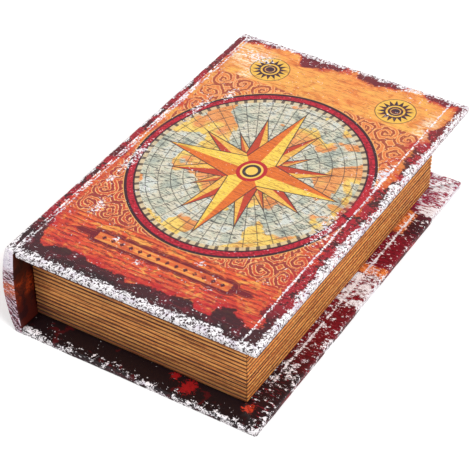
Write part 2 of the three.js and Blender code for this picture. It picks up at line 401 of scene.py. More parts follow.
@dataclass(frozen=True)
class PrintedCovering:
    """The printed leather-look sheet, burnt and worn white along its edges.

    Its pattern is drawn in the book's own millimetres, so it runs on from piece to piece.
    Names that end in mm are places and sizes there. Stops are the colours of a ramp, and spots
    are ovals, each given by its middle and its half sizes.
    """

    side: CoverSide
    fore_edge_mm: float = LID_HIGH.x / MM
    spine_edge_mm: float = -74.6
    end_mm: float = LID_HIGH.y / MM
    thickness_mm: float = LID_HIGH.z / MM
    turned_in_mm: float = LID_LOW.z / MM + 1.2
    rib_mm: float = 0.9
    fore_scratch_mm: float = 10.3
    spine_scratch_mm: float = 7.3
    roundel_x_mm: float = 2.4
    roundel_y_mm: float = 2.5
    roundel_mm: float = 66.5
    roundel_stretch: float = 1.14
    ring_mm: float = 4.4
    scale_mm: float = 6.0
    net_mm: float = 6.6
    panel_mm: float = 66.5
    spiral_cell_mm: float = 13.5
    spiral_pitch_mm: float = 3.7
    frame_y_mm: float = -86.5
    lozenge_mm: float = 5.6
    sun_x_mm: float = 42.0
    sun_y_mm: float = 93.5
    sun_mm: float = 11.9
    sun_hub_mm: float = 5.7
    sun_eye_mm: float = 4.5
    band_y_mm: float = 44.0
    band_spread_mm: float = 26.0
    white: Colour = srgb(252, 247, 250)
    lavender: Colour = srgb(214, 204, 218)
    burnt: Colour = srgb(42, 14, 24)
    singed: Colour = srgb(126, 26, 44)
    charred: Colour = srgb(26, 8, 14)
    crimson: Colour = srgb(190, 34, 42)
    ink: Colour = srgb(60, 44, 48)
    ring_line: Colour = srgb(54, 16, 32)
    sun: Star = Star(16, 10.9, 6.6, 0.0, srgb(56, 32, 46), srgb(242, 190, 82))
    ground_stops: Stops = (
        (0.0, srgb(214, 54, 54)),
        (0.13, srgb(228, 88, 52)),
        (0.38, srgb(232, 112, 52)),
        (0.62, srgb(240, 138, 58)),
        (0.8, srgb(248, 176, 88)),
        (1.0, srgb(246, 156, 80)),
    )
    parchment_stops: Stops = (
        (0.34, srgb(178, 184, 170)),
        (0.46, srgb(206, 206, 184)),
        (0.54, srgb(224, 214, 190)),
        (0.64, srgb(212, 216, 206)),
    )
    turned_in_stops: Stops = (
        (0.38, srgb(26, 8, 14)),
        (0.46, srgb(84, 8, 18)),
        (0.58, srgb(134, 12, 28)),
        (0.68, srgb(196, 84, 40)),
    )
    overhang_stops: Stops = (
        (0.0, srgb(26, 9, 13)),
        (0.19, srgb(32, 9, 14)),
        (0.23, srgb(84, 3, 12)),
        (0.31, srgb(116, 4, 20)),
        (0.72, srgb(134, 6, 34)),
        (0.75, srgb(58, 8, 22)),
        (0.82, srgb(70, 10, 26)),
        (0.87, srgb(150, 24, 62)),
    )
    faded_spots: Spots = ((-57, 99, 24, 17), (-50, 74, 7, 34), (67, 84, 8, 26))
    handled_spots: Spots = (
        (-52, 101, 18, 9),
        (-60, -22, 5, 34),
        (-55, 38, 5, 24),
        (-46, 58, 5, 14),
        (-52, -66, 6, 14),
        (62, -22, 8, 22),
        (66, 34, 5, 24),
        (-8, -94, 4, 4),
        (20, -78, 5, 3),
        (-28, -84, 4, 3),
    )
    rose_tiers: Sequence[Star] = (
        Star(16, 33.0, 15.0, 0.0, srgb(204, 94, 52), srgb(238, 176, 92)),
        Star(8, 44.0, 15.5, 0.5, srgb(194, 68, 46), srgb(244, 190, 88)),
        Star(4, 54.0, 13.0, 0.0, srgb(228, 116, 46), srgb(250, 212, 90)),
    )

    def material(self) -> bpy.types.Material:
        """Builds the finish of this side."""
        prints = {CoverSide.FRONT: LidPrint, CoverSide.SPINE: SpinePrint, CoverSide.BACK: BackPrint}
        return prints[self.side](self).material()


class PrintedSide:
    """One side's print, laid down from the ground up and then worn."""

    def __init__(self, sheet: PrintedCovering) -> None:
        """Starts the side's nodes, with its distances from the edges and the noises that layers share.

        Args:
            sheet: The covering's sizes and tints.
        """
        bench = Bench(f"printed_covering_{sheet.side.value}")
        self.bench, self.sheet = bench, sheet
        self.fore, self.spine = sheet.fore_edge_mm - bench.x, bench.x - sheet.spine_edge_mm
        self.tail, self.head = bench.y + sheet.end_mm, sheet.end_mm - bench.y
        self.along = self.tail / (2 * sheet.end_mm)
        self.fleck = bench.grain((0.6, 0.76, 0.76), 5, 0.67, 0.35)
        self.blotch = bench.grain(0.11, 3, 0.6, 0.3, 7.0)
        self.broad = bench.grain(0.035, 2, 0.5, 0.0, 3.0)
        self.strokes = bench.grain((0.07, 0.75, 0.4), 4, 0.65, 0.4, 1.5)
        self.lobes = bench.grain(0.05, 3, 0.45, 0.6, 27.0) - 0.5
        self.across_ends = bench.grain((0.95, 0.24, 0.95), 4, 0.68, 0.2, 17.0)
        self.across_sides = bench.grain((0.24, 0.95, 0.95), 4, 0.68, 0.2, 19.0)
        self.jitter, self.sway, self.drift = self.fleck - 0.5, self.blotch - 0.5, self.broad - 0.5

    def layers(self) -> Layers:
        """The print of this side before it is worn, which each side draws in its own way."""
        raise NotImplementedError

    def material(self) -> bpy.types.Material:
        """Lays the print down and wears it.

        Returns:
            The material of this side.
        """
        bench, sheet = self.bench, self.sheet
        layers = self.layers()
        worn = self.wear(layers)
        shaded = bench.rise(self.blotch, 0.50, 0.62) * bench.rise(self.fleck, 0.66, 0.48)
        paper = bench.paint(sheet.white, sheet.lavender, shaded * 0.8)
        pores = bench.grain(2.6, 2, 0.6)
        ribs = bench.sawtooth(bench.x + bench.z + self.jitter * 0.8, sheet.rib_mm) / (sheet.rib_mm / 2)
        rib_shade = bench.rise(ribs, 0.5, 0.0) * 0.16
        colour = bench.coats(layers.colour, (paper, worn), (sheet.charred, rib_shade))
        height = worn * -0.35 + pores * 0.4 + self.fleck * 0.25 + ribs * 0.3 + layers.pleats
        roughness = 0.48 + worn * 0.2 + (pores - 0.5) * 0.15
        return bench.finish(colour, roughness, bench.relief(height, 0.12, 0.8), Specular_IOR_Level=0.3)

    def wear(self, layers: Layers) -> Signal:
        """Where the print has worn off, in flecks that lie across the nearest edge.

        Args:
            layers: The print with its edges, its guarded places and its scratches.

        Returns:
            1 on bare paper, 0 on print.
        """
        bench = self.bench
        nearer = bench.least(self.fore, self.spine) - bench.least(self.tail, self.head)
        comb = self.across_sides + (self.across_ends - self.across_sides) * bench.rise(nearer, -1.0, 1.0)
        edge = layers.edge_mm + self.drift * 10 + self.sway * 9
        hold = 0.37 + 0.27 * bench.rise(edge, 3.2, 5.4) + 0.03 * bench.rise(edge, 5.0, 18.0)
        hold = hold + layers.guard - self.sway * 0.14 - layers.scratch * 0.2
        speck = self.fleck + (comb - 0.5) * bench.rise(edge, 14.0, 5.0) * 0.6
        holes = bench.rise(bench.grain(0.72, 2, 0.5, 1.0, 41.0), 0.528, 0.556)
        holes = holes * bench.rise(edge, 9.0, 6.0)
        return bench.rise(speck - hold, -0.012, 0.016) * (1 - holes * layers.spotting)

    def scratches(self, lines: Sequence[tuple[Signal, float]]) -> Signal:
        """Long broken scratches that run beside the edges.

        Args:
            lines: For each scratch, the distance in mm from its edge and where it lies.

        Returns:
            1 on a scratch.
        """
        wander = self.drift * 1.6 + self.jitter * 1.6
        broken = self.bench.rise(self.blotch, 0.31, 0.40)
        marks = [self.bench.stripe(away - at + wander, 0.6, 0.7) for away, at in lines]
        return self.bench.most(*marks) * broken

    def ground(self) -> bpy.types.NodeSocket:
        """The unburnt print, from crimson at the tail to yellow at the head, clouded and dashed.

        Returns:
            The ground's colour.
        """
        bench = self.bench
        cloud = bench.grain((0.08, 0.11, 0.1), 5, 0.66, 1.2, 21.0)
        dashes = bench.grain((0.2, 1.5, 1.0), 3, 0.62, 0.6, 5.0)
        shade = bench.paint(srgb(184, 38, 44), srgb(216, 104, 46), bench.rise(self.along, 0.3, 0.75))
        row = bench.sawtooth(bench.y + self.sway * 6 + (self.strokes - 0.5) * 5, 3.3)
        waves = bench.rise(row, 0.8, 0.34) * bench.rise(self.fleck * 0.6 + dashes * 0.4, 0.41, 0.52)
        return bench.coats(
            bench.ramp(self.along + self.drift * 0.45, self.sheet.ground_stops),
            (srgb(252, 194, 90), bench.rise(cloud, 0.52, 0.66) * 0.65),
            (shade, bench.rise(cloud, 0.50, 0.37) * 0.62),
            (srgb(252, 196, 104), bench.rise(self.strokes, 0.53, 0.66) * 0.38),
            (srgb(178, 56, 40), bench.rise(self.strokes, 0.47, 0.35) * 0.36),
            (srgb(122, 36, 40), bench.rise(dashes, 0.575, 0.65) * 0.58),
            (srgb(104, 16, 34), waves * (0.1 + bench.rise(self.along, 0.36, 0.24) * 0.72)),
        )

    def burn(self, colour: Tint, rim: Signal) -> bpy.types.NodeSocket:
        """The burnt border, blackest at the tail.

        Args:
            colour: What is burnt.
            rim: The distance in mm from the burnt edges.

        Returns:
            The burnt colour.
        """
        bench, sheet = self.bench, self.sheet
        rim = rim + self.jitter * 7
        sides = bench.rise(bench.least(self.tail, self.head), 16, 44)
        tone = bench.coats(
            sheet.burnt,
            (sheet.singed, bench.rise(self.along, 0.62, 0.9) * 0.6),
            (srgb(182, 30, 46), sides * bench.rise(self.blotch + self.fleck, 0.93, 1.02) * 0.88),
            (sheet.singed, bench.rise(self.blotch, 0.53, 0.62) * 0.4),
            (srgb(104, 18, 38), bench.rise(self.strokes, 0.53, 0.64) * 0.45),
        )
        halo = 21 - bench.rise(self.along, 0.76, 0.92) * 5
        glow = bench.rise(rim, halo, 13.5) * (0.35 + bench.rise(self.blotch, 0.44, 0.56) * 0.5)
        return bench.coats(
            colour,
            (sheet.crimson, glow),
            (tone, bench.rise(rim, 13.2, 11.8) * 0.96),
            (sheet.charred, bench.rise(rim, 6, 2) * 0.7),
        )


class LidPrint(PrintedSide):
    """The lid's face: scrollwork, a frame, two suns and a roundel, in a burnt border."""

    def __init__(self, sheet: PrintedCovering) -> None:
        """Adds the places round the roundel's middle, and the short dashes of its engraving.

        Args:
            sheet: The covering's sizes and tints.
        """
        super().__init__(sheet)
        bench = self.bench
        self.u = bench.x - sheet.roundel_x_mm
        self.v = (bench.y - sheet.roundel_y_mm) / sheet.roundel_stretch
        self.radius = bench.length(self.u, self.v)
        self.angle = bench.math("ARCTAN2", self.v, self.u)
        self.nicks = bench.rise(bench.grain((0.36, 1.5, 1.0), 3, 0.6, 0.5, 13.0), 0.555, 0.605)

    def layers(self) -> Layers:
        """Lays the lid's print down, with its burnt border last.

        Returns:
            The print with its edges, its guarded places and its scratches.
        """
        bench, sheet = self.bench, self.sheet
        glaze = self.rubbed(sheet.faded_spots) * bench.rise(self.fleck + self.strokes, 0.92, 1.1)
        colour = bench.paint(self.ground(), srgb(254, 238, 206), glaze * 0.85)
        for drawn in (self.scrollwork, self.frame, self.suns, self.roundel):
            colour = drawn(colour)
        bays = abs(bench.math("SINE", (bench.x + 23) * (math.pi / 45)))
        rim = bench.least(
            self.tail - bench.rise(bench.x, 34, 54) * 5 + self.lobes * 28,
            self.head + 1.5 + bays * 9 + self.lobes * 34,
            self.spine + 8.5 - bench.rise(self.tail, 50, 40) * 7 + self.lobes * 22,
            self.fore + 3.4 + bench.rise(bench.y, -15, 45) * 1.6 + self.lobes * 24,
            (self.tail + self.fore) * 0.5 + 0.5,
        )
        colour = self.burn(colour, rim)
        underside = bench.rise(bench.z, sheet.turned_in_mm, sheet.turned_in_mm - 0.4)
        colour = bench.paint(colour, self.turned_in(), underside)
        fore_edge = self.fore + 1.0 + bench.rise(bench.y, 0, 70) * 1.2
        edge = bench.least(fore_edge, self.spine - 1.5, self.tail + 0.4, self.head + 0.6)
        guard = self.rubbed(sheet.handled_spots) * -0.15 - bench.rise(self.blotch, 0.6, 0.7) * 0.05
        lines = ((self.fore, sheet.fore_scratch_mm), (self.spine, sheet.spine_scratch_mm))
        return Layers(colour, edge, guard, self.scratches(lines))

    def rubbed(self, spots: Spots) -> Signal:
        """Spots that handling has rubbed.

        Args:
            spots: For each, the place of its middle and its half sizes, in mm along X and Y.

        Returns:
            1 in the middle of a spot, 0 outside.
        """
        bench = self.bench
        marks = [
            bench.rise(bench.length((bench.x - x) / wide, (bench.y - y) / high), 1.0, 0.2)
            for x, y, wide, high in spots
        ]
        return bench.most(*marks)

    def scrollwork(self, colour: Tint) -> bpy.types.NodeSocket:
        """Mirrored spirals in the panel round the roundel.

        Args:
            colour: The print beneath.

        Returns:
            The print with the spirals.
        """
        bench, sheet = self.bench, self.sheet
        cell, pitch = sheet.spiral_cell_mm, sheet.spiral_pitch_mm
        bend = self.sway * 9
        across = bench.math("PINGPONG", self.u + bend, cell) - cell / 2
        up = bench.math("PINGPONG", self.v - bend, cell) - cell / 2
        turn = bench.math("ARCTAN2", up, across) / math.tau
        off = bench.sawtooth(bench.length(across, up) + turn * pitch, pitch) + self.jitter * 0.8
        panel = bench.rise(bench.most(abs(self.u), abs(self.v)), sheet.panel_mm + 1, sheet.panel_mm)
        panel = panel * bench.rise(self.radius, sheet.roundel_mm + 0.8, sheet.roundel_mm + 1.4)
        headward = bench.rise(self.along, 0.25, 0.62)
        field_tone = bench.paint(srgb(200, 72, 52), srgb(224, 112, 66), headward)
        outline = bench.rise(off, 1.34, 1.16) * bench.rise(self.fleck, 0.36, 0.46)
        core = bench.paint(srgb(144, 26, 44), srgb(158, 60, 44), bench.rise(self.along, 0.3, 0.7))
        return bench.coats(
            colour,
            (field_tone, panel * 0.7),
            (srgb(252, 190, 120), outline * panel * 0.85),
            (core, bench.rise(off, 0.84, 0.64) * panel * 0.92),
        )

    def frame(self, colour: Tint) -> bpy.types.NodeSocket:
        """A long frame with scalloped sides and a row of lozenges, near the tail.

        Args:
            colour: The print beneath.

        Returns:
            The print with the frame.
        """
        bench, sheet = self.bench, self.sheet
        away, along = abs(bench.y - sheet.frame_y_mm), abs(self.u)
        scallop = abs(bench.math("SINE", self.u * 0.36)) * 1.1
        finial = bench.most(along + away * 1.6 - 55.5, away - 2.6)
        side = bench.least(bench.most(away - 5.0 - scallop, along + away * 0.4 - 46), finial)
        lozenge = bench.rise(bench.sawtooth(self.u, sheet.lozenge_mm) * 1.1 + away, 1.75, 1.5)
        inlay = bench.coats(
            srgb(222, 104, 56),
            (srgb(246, 166, 84), bench.rise(self.strokes, 0.46, 0.6)),
            (srgb(190, 60, 48), bench.rise(self.blotch, 0.54, 0.64) * 0.6),
            (srgb(84, 26, 40), lozenge * bench.rise(self.fleck, 0.36, 0.46)),
        )
        panel = bench.rise(bench.most(away - 3.1, along - 41), 0.15, -0.15)
        outer = bench.rise(side, 0.15, -0.15) * bench.rise(self.fleck, 0.30, 0.40)
        return bench.coats(
            colour,
            (srgb(104, 14, 34), outer * 0.94),
            (inlay, panel * 0.94),
            (srgb(206, 96, 60), bench.stripe(side + 0.75, 0.14, 0.15) * 0.7),
        )

    def suns(self, colour: Tint) -> bpy.types.NodeSocket:
        """A rayed disc on each side near the head.

        Args:
            colour: The print beneath.

        Returns:
            The print with the discs.
        """
        bench, sheet, sun = self.bench, self.sheet, self.sheet.sun
        across, up = abs(self.u) - sheet.sun_x_mm, bench.y - sheet.sun_y_mm
        radius = bench.length(across, up)
        rays, _ = self.star_outline(sun, radius, bench.math("ARCTAN2", up, across))
        disc = bench.rise(radius, sheet.sun_mm + 0.2, sheet.sun_mm - 0.1)
        return bench.coats(
            colour,
            (sun.light, disc),
            (sun.dark, bench.rise(rays, -0.1, 0.15) * disc),
            (sun.light, bench.rise(radius, sheet.sun_hub_mm + 0.1, sheet.sun_hub_mm - 0.1)),
            (sun.dark, bench.rise(radius, sheet.sun_eye_mm + 0.1, sheet.sun_eye_mm - 0.1)),
            (srgb(226, 170, 96), bench.stripe(radius - 2.9, 0.3)),
            (srgb(150, 60, 44), bench.rise(self.strokes, 0.54, 0.6) * disc * 0.45),
            (sheet.ink, bench.stripe(radius - sheet.sun_mm, 0.22)),
        )

    def star_outline(self, star: Star, radius: Signal, angle: Signal) -> tuple[Signal, Signal]:
        """A star's outline.

        Args:
            star: The star.
            radius: Distance from its middle in mm.
            angle: Direction from its middle.

        Returns:
            The distance in mm inside the outline, and the place across a point, from -0.5 to 0.5.
        """
        bench, sector = self.bench, math.tau / star.points
        across = bench.math("FRACT", angle / sector + (star.turned + SECTOR_SHIFT)) - 0.5
        folded = across * sector
        along = radius * bench.math("COSINE", folded)
        beside = radius * bench.math("SINE", abs(folded))
        half, reach, notch = sector / 2, star.reach_mm, star.notch_mm
        normal = Vector((notch * math.sin(half), reach - notch * math.cos(half))).normalized()
        return (reach - along) * normal.x - beside * normal.y, across

    def roundel(self, colour: Tint) -> bpy.types.NodeSocket:
        """The ringed disc: parchment with fine lines, a wind rose, a scale and its ring.

        Args:
            colour: The print beneath.

        Returns:
            The print with the roundel.
        """
        bench, sheet = self.bench, self.sheet
        ring, width, radius = sheet.roundel_mm, sheet.ring_mm, self.radius
        ticks = abs(bench.math("FRACT", self.angle / (math.tau / 72) + SECTOR_SHIFT) - 0.5)
        scale = bench.stripe(radius - (ring - sheet.scale_mm), 1.3, 0.1)
        disc = bench.coats(
            self.wind_rose(self.parchment()),
            (srgb(214, 190, 150), scale * 0.8),
            (sheet.ink, scale * bench.rise(ticks, 0.30, 0.34) * 0.85),
        )
        ring_tone = bench.paint(srgb(128, 6, 30), srgb(198, 32, 54), bench.rise(self.fleck, 0.38, 0.58))
        outer_line = bench.stripe(radius - ring, 0.8, 0.2)
        inner_line = bench.stripe(radius - (ring - width), 0.5, 0.2)
        return bench.coats(
            colour,
            (disc, bench.rise(radius, ring - width + 0.1, ring - width - 0.2)),
            (srgb(248, 186, 110), bench.stripe(radius - (ring + 0.75), 0.35)),
            (ring_tone, bench.stripe(radius - (ring - width / 2), width / 2 + 0.1)),
            (sheet.ring_line, bench.most(outer_line, inner_line)),
        )

    def parchment(self) -> bpy.types.NodeSocket:
        """Grey-green parchment with tinted washes, hatching and a net of circles and spokes.

        Returns:
            The parchment's colour.
        """
        bench, sheet, nicks, radius = self.bench, self.sheet, self.nicks, self.radius
        hatch = bench.rise(self.strokes, 0.54, 0.60) * bench.rise(self.blotch, 0.60, 0.46)
        wash = bench.rise(bench.grain(0.036, 4, 0.5, 0.3, 11.0) + radius * 0.0012, 0.55, 0.58)
        tint = bench.coats(
            srgb(240, 148, 62),
            (srgb(250, 210, 86), bench.rise(self.broad, 0.46, 0.54)),
            (srgb(176, 78, 44), bench.most(nicks, hatch) * 0.6),
        )
        sector = math.tau / 48
        spoke = abs(bench.math("FRACT", self.angle / sector + SECTOR_SHIFT) - 0.5) * radius * sector
        lines = bench.rise(bench.least(spoke, bench.sawtooth(radius, sheet.net_mm)), 0.34, 0.18)
        return bench.coats(
            bench.ramp(self.blotch, sheet.parchment_stops),
            (srgb(60, 70, 76), hatch * 0.55),
            (srgb(46, 50, 56), nicks * 0.85),
            (tint, wash * 0.85),
            (srgb(70, 66, 64), lines * bench.rise(self.fleck, 0.36, 0.46) * 0.8),
        )

    def wind_rose(self, colour: Tint) -> bpy.types.NodeSocket:
        """Three tiers of points, each shaded on one side, round a hub.

        Args:
            colour: The parchment beneath.

        Returns:
            The parchment with the rose.
        """
        bench, ink, radius = self.bench, self.sheet.ink, self.radius
        engraved = bench.most(self.nicks, bench.rise(self.strokes, 0.54, 0.62)) * 0.5
        for tier in self.sheet.rose_tiers:
            depth, across = self.star_outline(tier, radius, self.angle)
            shaded = bench.rise(across, -0.01, 0.01)
            tone = bench.coats(tier.light, (tier.dark, shaded), (srgb(150, 60, 40), engraved))
            outline = bench.stripe(depth, 0.28, 0.2)
            colour = bench.coats(colour, (tone, bench.rise(depth, -0.12, 0.12)), (ink, outline))
        return bench.coats(
            colour,
            (srgb(186, 36, 44), bench.rise(radius, 8.6, 8.3)),
            (srgb(244, 202, 96), bench.rise(radius, 6.4, 6.1)),
            (ink, bench.stripe(radius - 4.2, 0.9, 0.2)),
        )

    def turned_in(self) -> bpy.types.NodeSocket:
        """The covering's colour where it is folded over onto a board's inner face."""
        bench, sheet = self.bench, self.sheet
        shade = bench.ramp(self.broad, sheet.turned_in_stops)
        return bench.paint(shade, sheet.charred, bench.rise(self.fleck, 0.56, 0.40) * 0.6)


class BackPrint(PrintedSide):
    """The back cover: its outer face below and its turned-in edges above."""

    def layers(self) -> Layers:
        """Lays the back cover's print down.

        Returns:
            The print with its edges, its guarded places and its scratches.
        """
        bench = self.bench
        rim = bench.least(self.tail, self.head + 2, self.spine + 3.5, self.fore + 4) + self.lobes * 40
        up = bench.rise(bench.z, 2.4, 3.2)
        colour = bench.paint(self.burn(self.ground(), rim), self.overhang(), up)
        head_end = bench.rise(self.head + self.sway * 14, 43, 37)
        middle = bench.stripe(self.tail - 120 + self.sway * 20, 13, 6)
        lost = head_end + middle * 0.72
        clusters = bench.grain((0.22, 0.34, 0.3), 3, 0.6, 0.5, 31.0) - 0.5
        tail_edge = self.tail * 0.8 + 4.3 + bench.stripe(bench.x + 14, 22, 12) * 2.2 - clusters * 14
        tail_edge = tail_edge - bench.stripe(bench.x + 63, 6, 2) * 3
        edge = bench.least(self.fore * 0.15 + 5.8 - lost * 4.5, tail_edge, self.head + 0.7)
        kept = bench.rise(self.tail, 3.5, 6.0) * bench.rise(self.fore + lost * 14, 5.5, 7.5)
        column = bench.stripe(self.tail - 111.2 + self.jitter * 5, 1.8, 0.6)
        spared = 0.07 - bench.rise(self.tail, 14, 24) * 0.11
        streaks = bench.rise(self.across_sides + self.sway * 0.6, 0.515, 0.54)
        guard = kept * (spared - lost * 0.03) - clusters * (1 - kept * 0.3) - column * 0.2
        guard = up * (guard + lost * streaks * 0.4)
        scratch = self.scratches(((self.fore, 10.5),)) * up * bench.rise(self.tail, 26, 50)
        scratch = scratch * (1.0 + kept * 0.5) * (1 - bench.rise(self.head, 43, 37))
        return Layers(colour, edge, guard, scratch, spotting=0.95 - lost * 0.9)

    def overhang(self) -> bpy.types.NodeSocket:
        """The turned-in edges that stand out under the page block.

        Returns:
            Near black at the tail and in bands of deep red, orange and black along the fore edge.
        """
        bench, sheet = self.bench, self.sheet
        wander = self.tail + self.sway * 26 + self.jitter * 8
        near_block = bench.rise(self.fore + self.jitter * 8, 7.6, 9.4)
        amber = bench.most(
            bench.stripe(self.tail - 141 + self.sway * 12, 4.6, 1.2),
            bench.stripe(self.tail - 189 + self.sway * 12, 11.0, 2.0) * near_block,
        )
        ripe = bench.paint(srgb(204, 84, 40), srgb(244, 142, 66), bench.rise(self.fleck, 0.42, 0.54))
        fore_tone = bench.coats(
            bench.ramp(wander / (2 * sheet.end_mm), sheet.overhang_stops),
            (srgb(184, 34, 58), bench.rise(self.across_sides, 0.55, 0.63) * 0.45),
            (srgb(44, 3, 12), bench.rise(self.across_sides, 0.49, 0.39) * 0.75),
            (ripe, amber * 0.95),
        )
        patch = bench.least(
            bench.length((bench.x - 32) / 4.6, (self.tail - 9) / 5.5),
            bench.length((bench.x - 22) / 2.8, (self.tail - 13) / 3.2),
        )
        patch = bench.rise(patch + self.jitter * 4, 1.0, 0.8)
        ember = bench.length(bench.x - 67.0, bench.y + 108.0) + self.jitter * 12
        return bench.coats(
            srgb(24, 9, 13),
            (srgb(172, 22, 26), patch * 0.9),
            (srgb(92, 10, 18), bench.rise(self.blotch, 0.58, 0.64) * 0.6),
            (fore_tone, bench.rise(self.fore - self.tail, 0.3, -0.3)),
            (srgb(24, 12, 14), bench.rise(self.fleck, 0.46, 0.34) * 0.5),
            (srgb(214, 62, 34), bench.rise(ember, 3.0, 2.2) * 0.95),
        )


class SpinePrint(PrintedSide):
    """The spine: its rounded face, its inner face, and its pleated ends."""

    def layers(self) -> Layers:
        """Lays the spine's print down.

        Returns:
            The print with its edges, its guarded places and its pleats.
        """
        bench, sheet = self.bench, self.sheet
        low = bench.least(bench.z, sheet.thickness_mm - bench.z)
        off_band = abs(abs(bench.y) - sheet.band_y_mm) - sheet.band_spread_mm
        colour = bench.coats(
            self.ground(),
            (srgb(150, 24, 34), bench.stripe(off_band, 3.4, 0.2) * 0.9),
            (srgb(74, 34, 36), bench.stripe(abs(off_band) - 4.6, 0.3, 0.2) * 0.85),
        )
        rim = bench.least(self.tail, self.head + 2, low + 6.5) + self.lobes * 34
        inner = bench.rise(bench.x, -71.9, -71.5) * bench.rise(low, 2.6, 3.2)
        warm = bench.stripe(bench.z - 29 + self.sway * 18, 5, 5) * bench.rise(self.fleck, 0.38, 0.6)
        inner_tone = bench.coats(
            srgb(70, 18, 10),
            (srgb(190, 68, 22), warm),
            (sheet.charred, bench.rise(self.blotch, 0.50, 0.40) * 0.7),
        )
        end_face = bench.rise(bench.least(self.tail, self.head), 0.45, 0.2)
        pleats = bench.grain((0.2, 0.2, 0.85), 4, 0.62, 0.9, 9.0)
        colour = bench.coats(
            self.burn(colour, rim), (inner_tone, inner), (self.pleated_end(pleats), end_face)
        )
        flat = bench.rise(low, 0.9, 0.3) * bench.most(bench.x + 75.5, 0)
        edge = bench.least(self.tail + 0.9, self.head + 0.9, low * 0.8 + 1.0 + flat * 1.4)
        guard = inner * 0.09 + end_face * (1 - inner) * bench.rise(bench.z, 53, 40) * 0.26
        return Layers(colour, edge + inner * 16, guard, 0.0, pleats * end_face * 1.2)

    def pleated_end(self, pleats: Signal) -> bpy.types.NodeSocket:
        """The spine's end, where the covering is gathered: pale above, maroon and orange below, with
        painted shade in the gathers' hollows.

        Args:
            pleats: The gathers, as a noise.

        Returns:
            The end's colour.
        """
        bench, z = self.bench, self.bench.z
        low = bench.rise(z + self.sway * 12, 50, 38)
        gather = bench.sawtooth(z * 0.8 + bench.x * 0.7 + self.sway * 10, 3.0) / 1.5
        gather = gather + (pleats - 0.5) * 2.4
        inward_shade = bench.rise(bench.x + self.jitter * 6, -77.5, -73.0) * 0.6 + 0.4
        warm = bench.stripe(z - 30 + self.sway * 10, 4, 3) * bench.rise(pleats, 0.42, 0.5)
        return bench.coats(
            srgb(226, 216, 230),
            (srgb(140, 58, 80), bench.rise(gather, 1.0, 0.62) * low),
            # Painted shade: the darkest colour fills the hollows of the gathers, more so towards the
            # inner edge.
            (srgb(62, 14, 26), bench.rise(gather, 0.66, 0.36) * low * inward_shade),
            (srgb(212, 98, 48), warm * 0.9),
            (self.sheet.burnt, bench.rise(pleats, 0.56, 0.62) * 0.8),
            (srgb(248, 230, 240), bench.rise(pleats, 0.44, 0.38) * 0.85),
        )


@dataclass(frozen=True)
class PageStain:
    """Grooved fibreboard stained tan brown, so that it looks like the edges of old leaves, with painted
    light and painted shade.
    """

    pale: Colour = srgb(250, 170, 92)
    tan: Colour = srgb(208, 116, 48)
    orange: Colour = srgb(236, 128, 38)
    dark: Colour = srgb(88, 36, 16)
    umber: Colour = srgb(126, 64, 30)
    speck: Colour = srgb(120, 50, 18)
    shadow: Colour = srgb(92, 38, 18)
    ridge: Colour = srgb(252, 200, 112)
    glint: Colour = srgb(255, 202, 112)
    groove: Colour = srgb(50, 20, 12)
    rust: Colour = srgb(194, 84, 28)
    rim_dark: Colour = srgb(150, 92, 48)
    rim_light: Colour = srgb(206, 140, 80)
    corner_mm: float = 40.75
    rim_mm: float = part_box("fore_edge_page_wall")[1].z / MM

    def material(self) -> bpy.types.Material:
        """Builds the finish, with painted shade in the grooves, from the leaves' own depth.

        Returns:
            The material.
        """
        bench = Bench("page_stain")
        depth = Signal(
            bench,
            bench.node("ShaderNodeAttribute", {"attribute_name": "groove"}).outputs["Fac"],
        )
        on_fore = bench.rise(bench.x - abs(bench.y) + self.corner_mm, -0.15, 0.15)
        streak = bench.grain((0.05, 1.6, 3.4), 4, 0.65, 0.2) * (1 - on_fore)
        streak = streak + bench.grain((1.6, 0.05, 3.4), 4, 0.65, 0.2, 4.0) * on_fore
        mottle = bench.grain(0.5, 3, 0.6, 0.4)
        patch = bench.grain((0.06, 0.06, 0.25), 3, 0.6, 0.3, 6.0)
        uneven = bench.rise(bench.grain((0.02, 0.02, 0.6), 2, 0.6, 0.0, 8.0), 0.40, 0.58)
        speckle = bench.grain((0.8, 0.5, 2.2), 3, 0.7, 0.0, 12.0)
        low = bench.rise(bench.z + (patch - 0.5) * 16, 24, 5)
        shaded = low * (0.72 - on_fore * 0.5) + (1 - on_fore) * bench.rise(bench.x, -55, -67) * 0.5
        lit = bench.rise(depth, 0.18, 0.07) * (1 - shaded * 0.5) * bench.rise(streak, 0.40, 0.52)
        rim = bench.paint(self.rim_dark, self.rim_light, bench.rise(streak + mottle, 0.84, 1.16))
        colour = bench.coats(
            self.tan,
            (self.pale, bench.rise(streak, 0.44, 0.60)),
            # Painted light: the fore face is painted lighter and more orange than the tail and head
            # faces.
            (self.orange, on_fore * 0.6),
            (self.rust, bench.rise(patch, 0.50, 0.66) * (0.25 + on_fore * 0.3)),
            (self.umber, bench.rise(mottle, 0.50, 0.36) * 0.3),
            (self.dark, bench.rise(streak, 0.49, 0.39) * 0.78),
            (self.speck, bench.rise(speckle, 0.47, 0.38) * on_fore * 0.6),
            (self.shadow, shaded),
            (self.ridge, lit * (0.8 - on_fore * 0.1)),
            (self.glint, bench.rise(speckle, 0.55, 0.63) * on_fore * 0.6),
            # Painted shade: the grooves darken with their depth.
            (self.groove, bench.rise(depth, 0.24, 0.52) * (0.74 + uneven * 0.26)),
            # Painted shadow: the leaves darken at their foot, where they stand on the back cover.
            (self.groove, bench.rise(bench.z, 6.6, 5.0) * 0.75),
            (rim, bench.rise(bench.z, self.rim_mm - 0.16, self.rim_mm - 0.04) * 0.85),
        )
        normal = bench.relief(streak * 0.7 + mottle * 0.3, 0.1, 0.7)
        return bench.finish(colour, 0.52 + depth * 0.25, normal, Specular_IOR_Level=0.35)


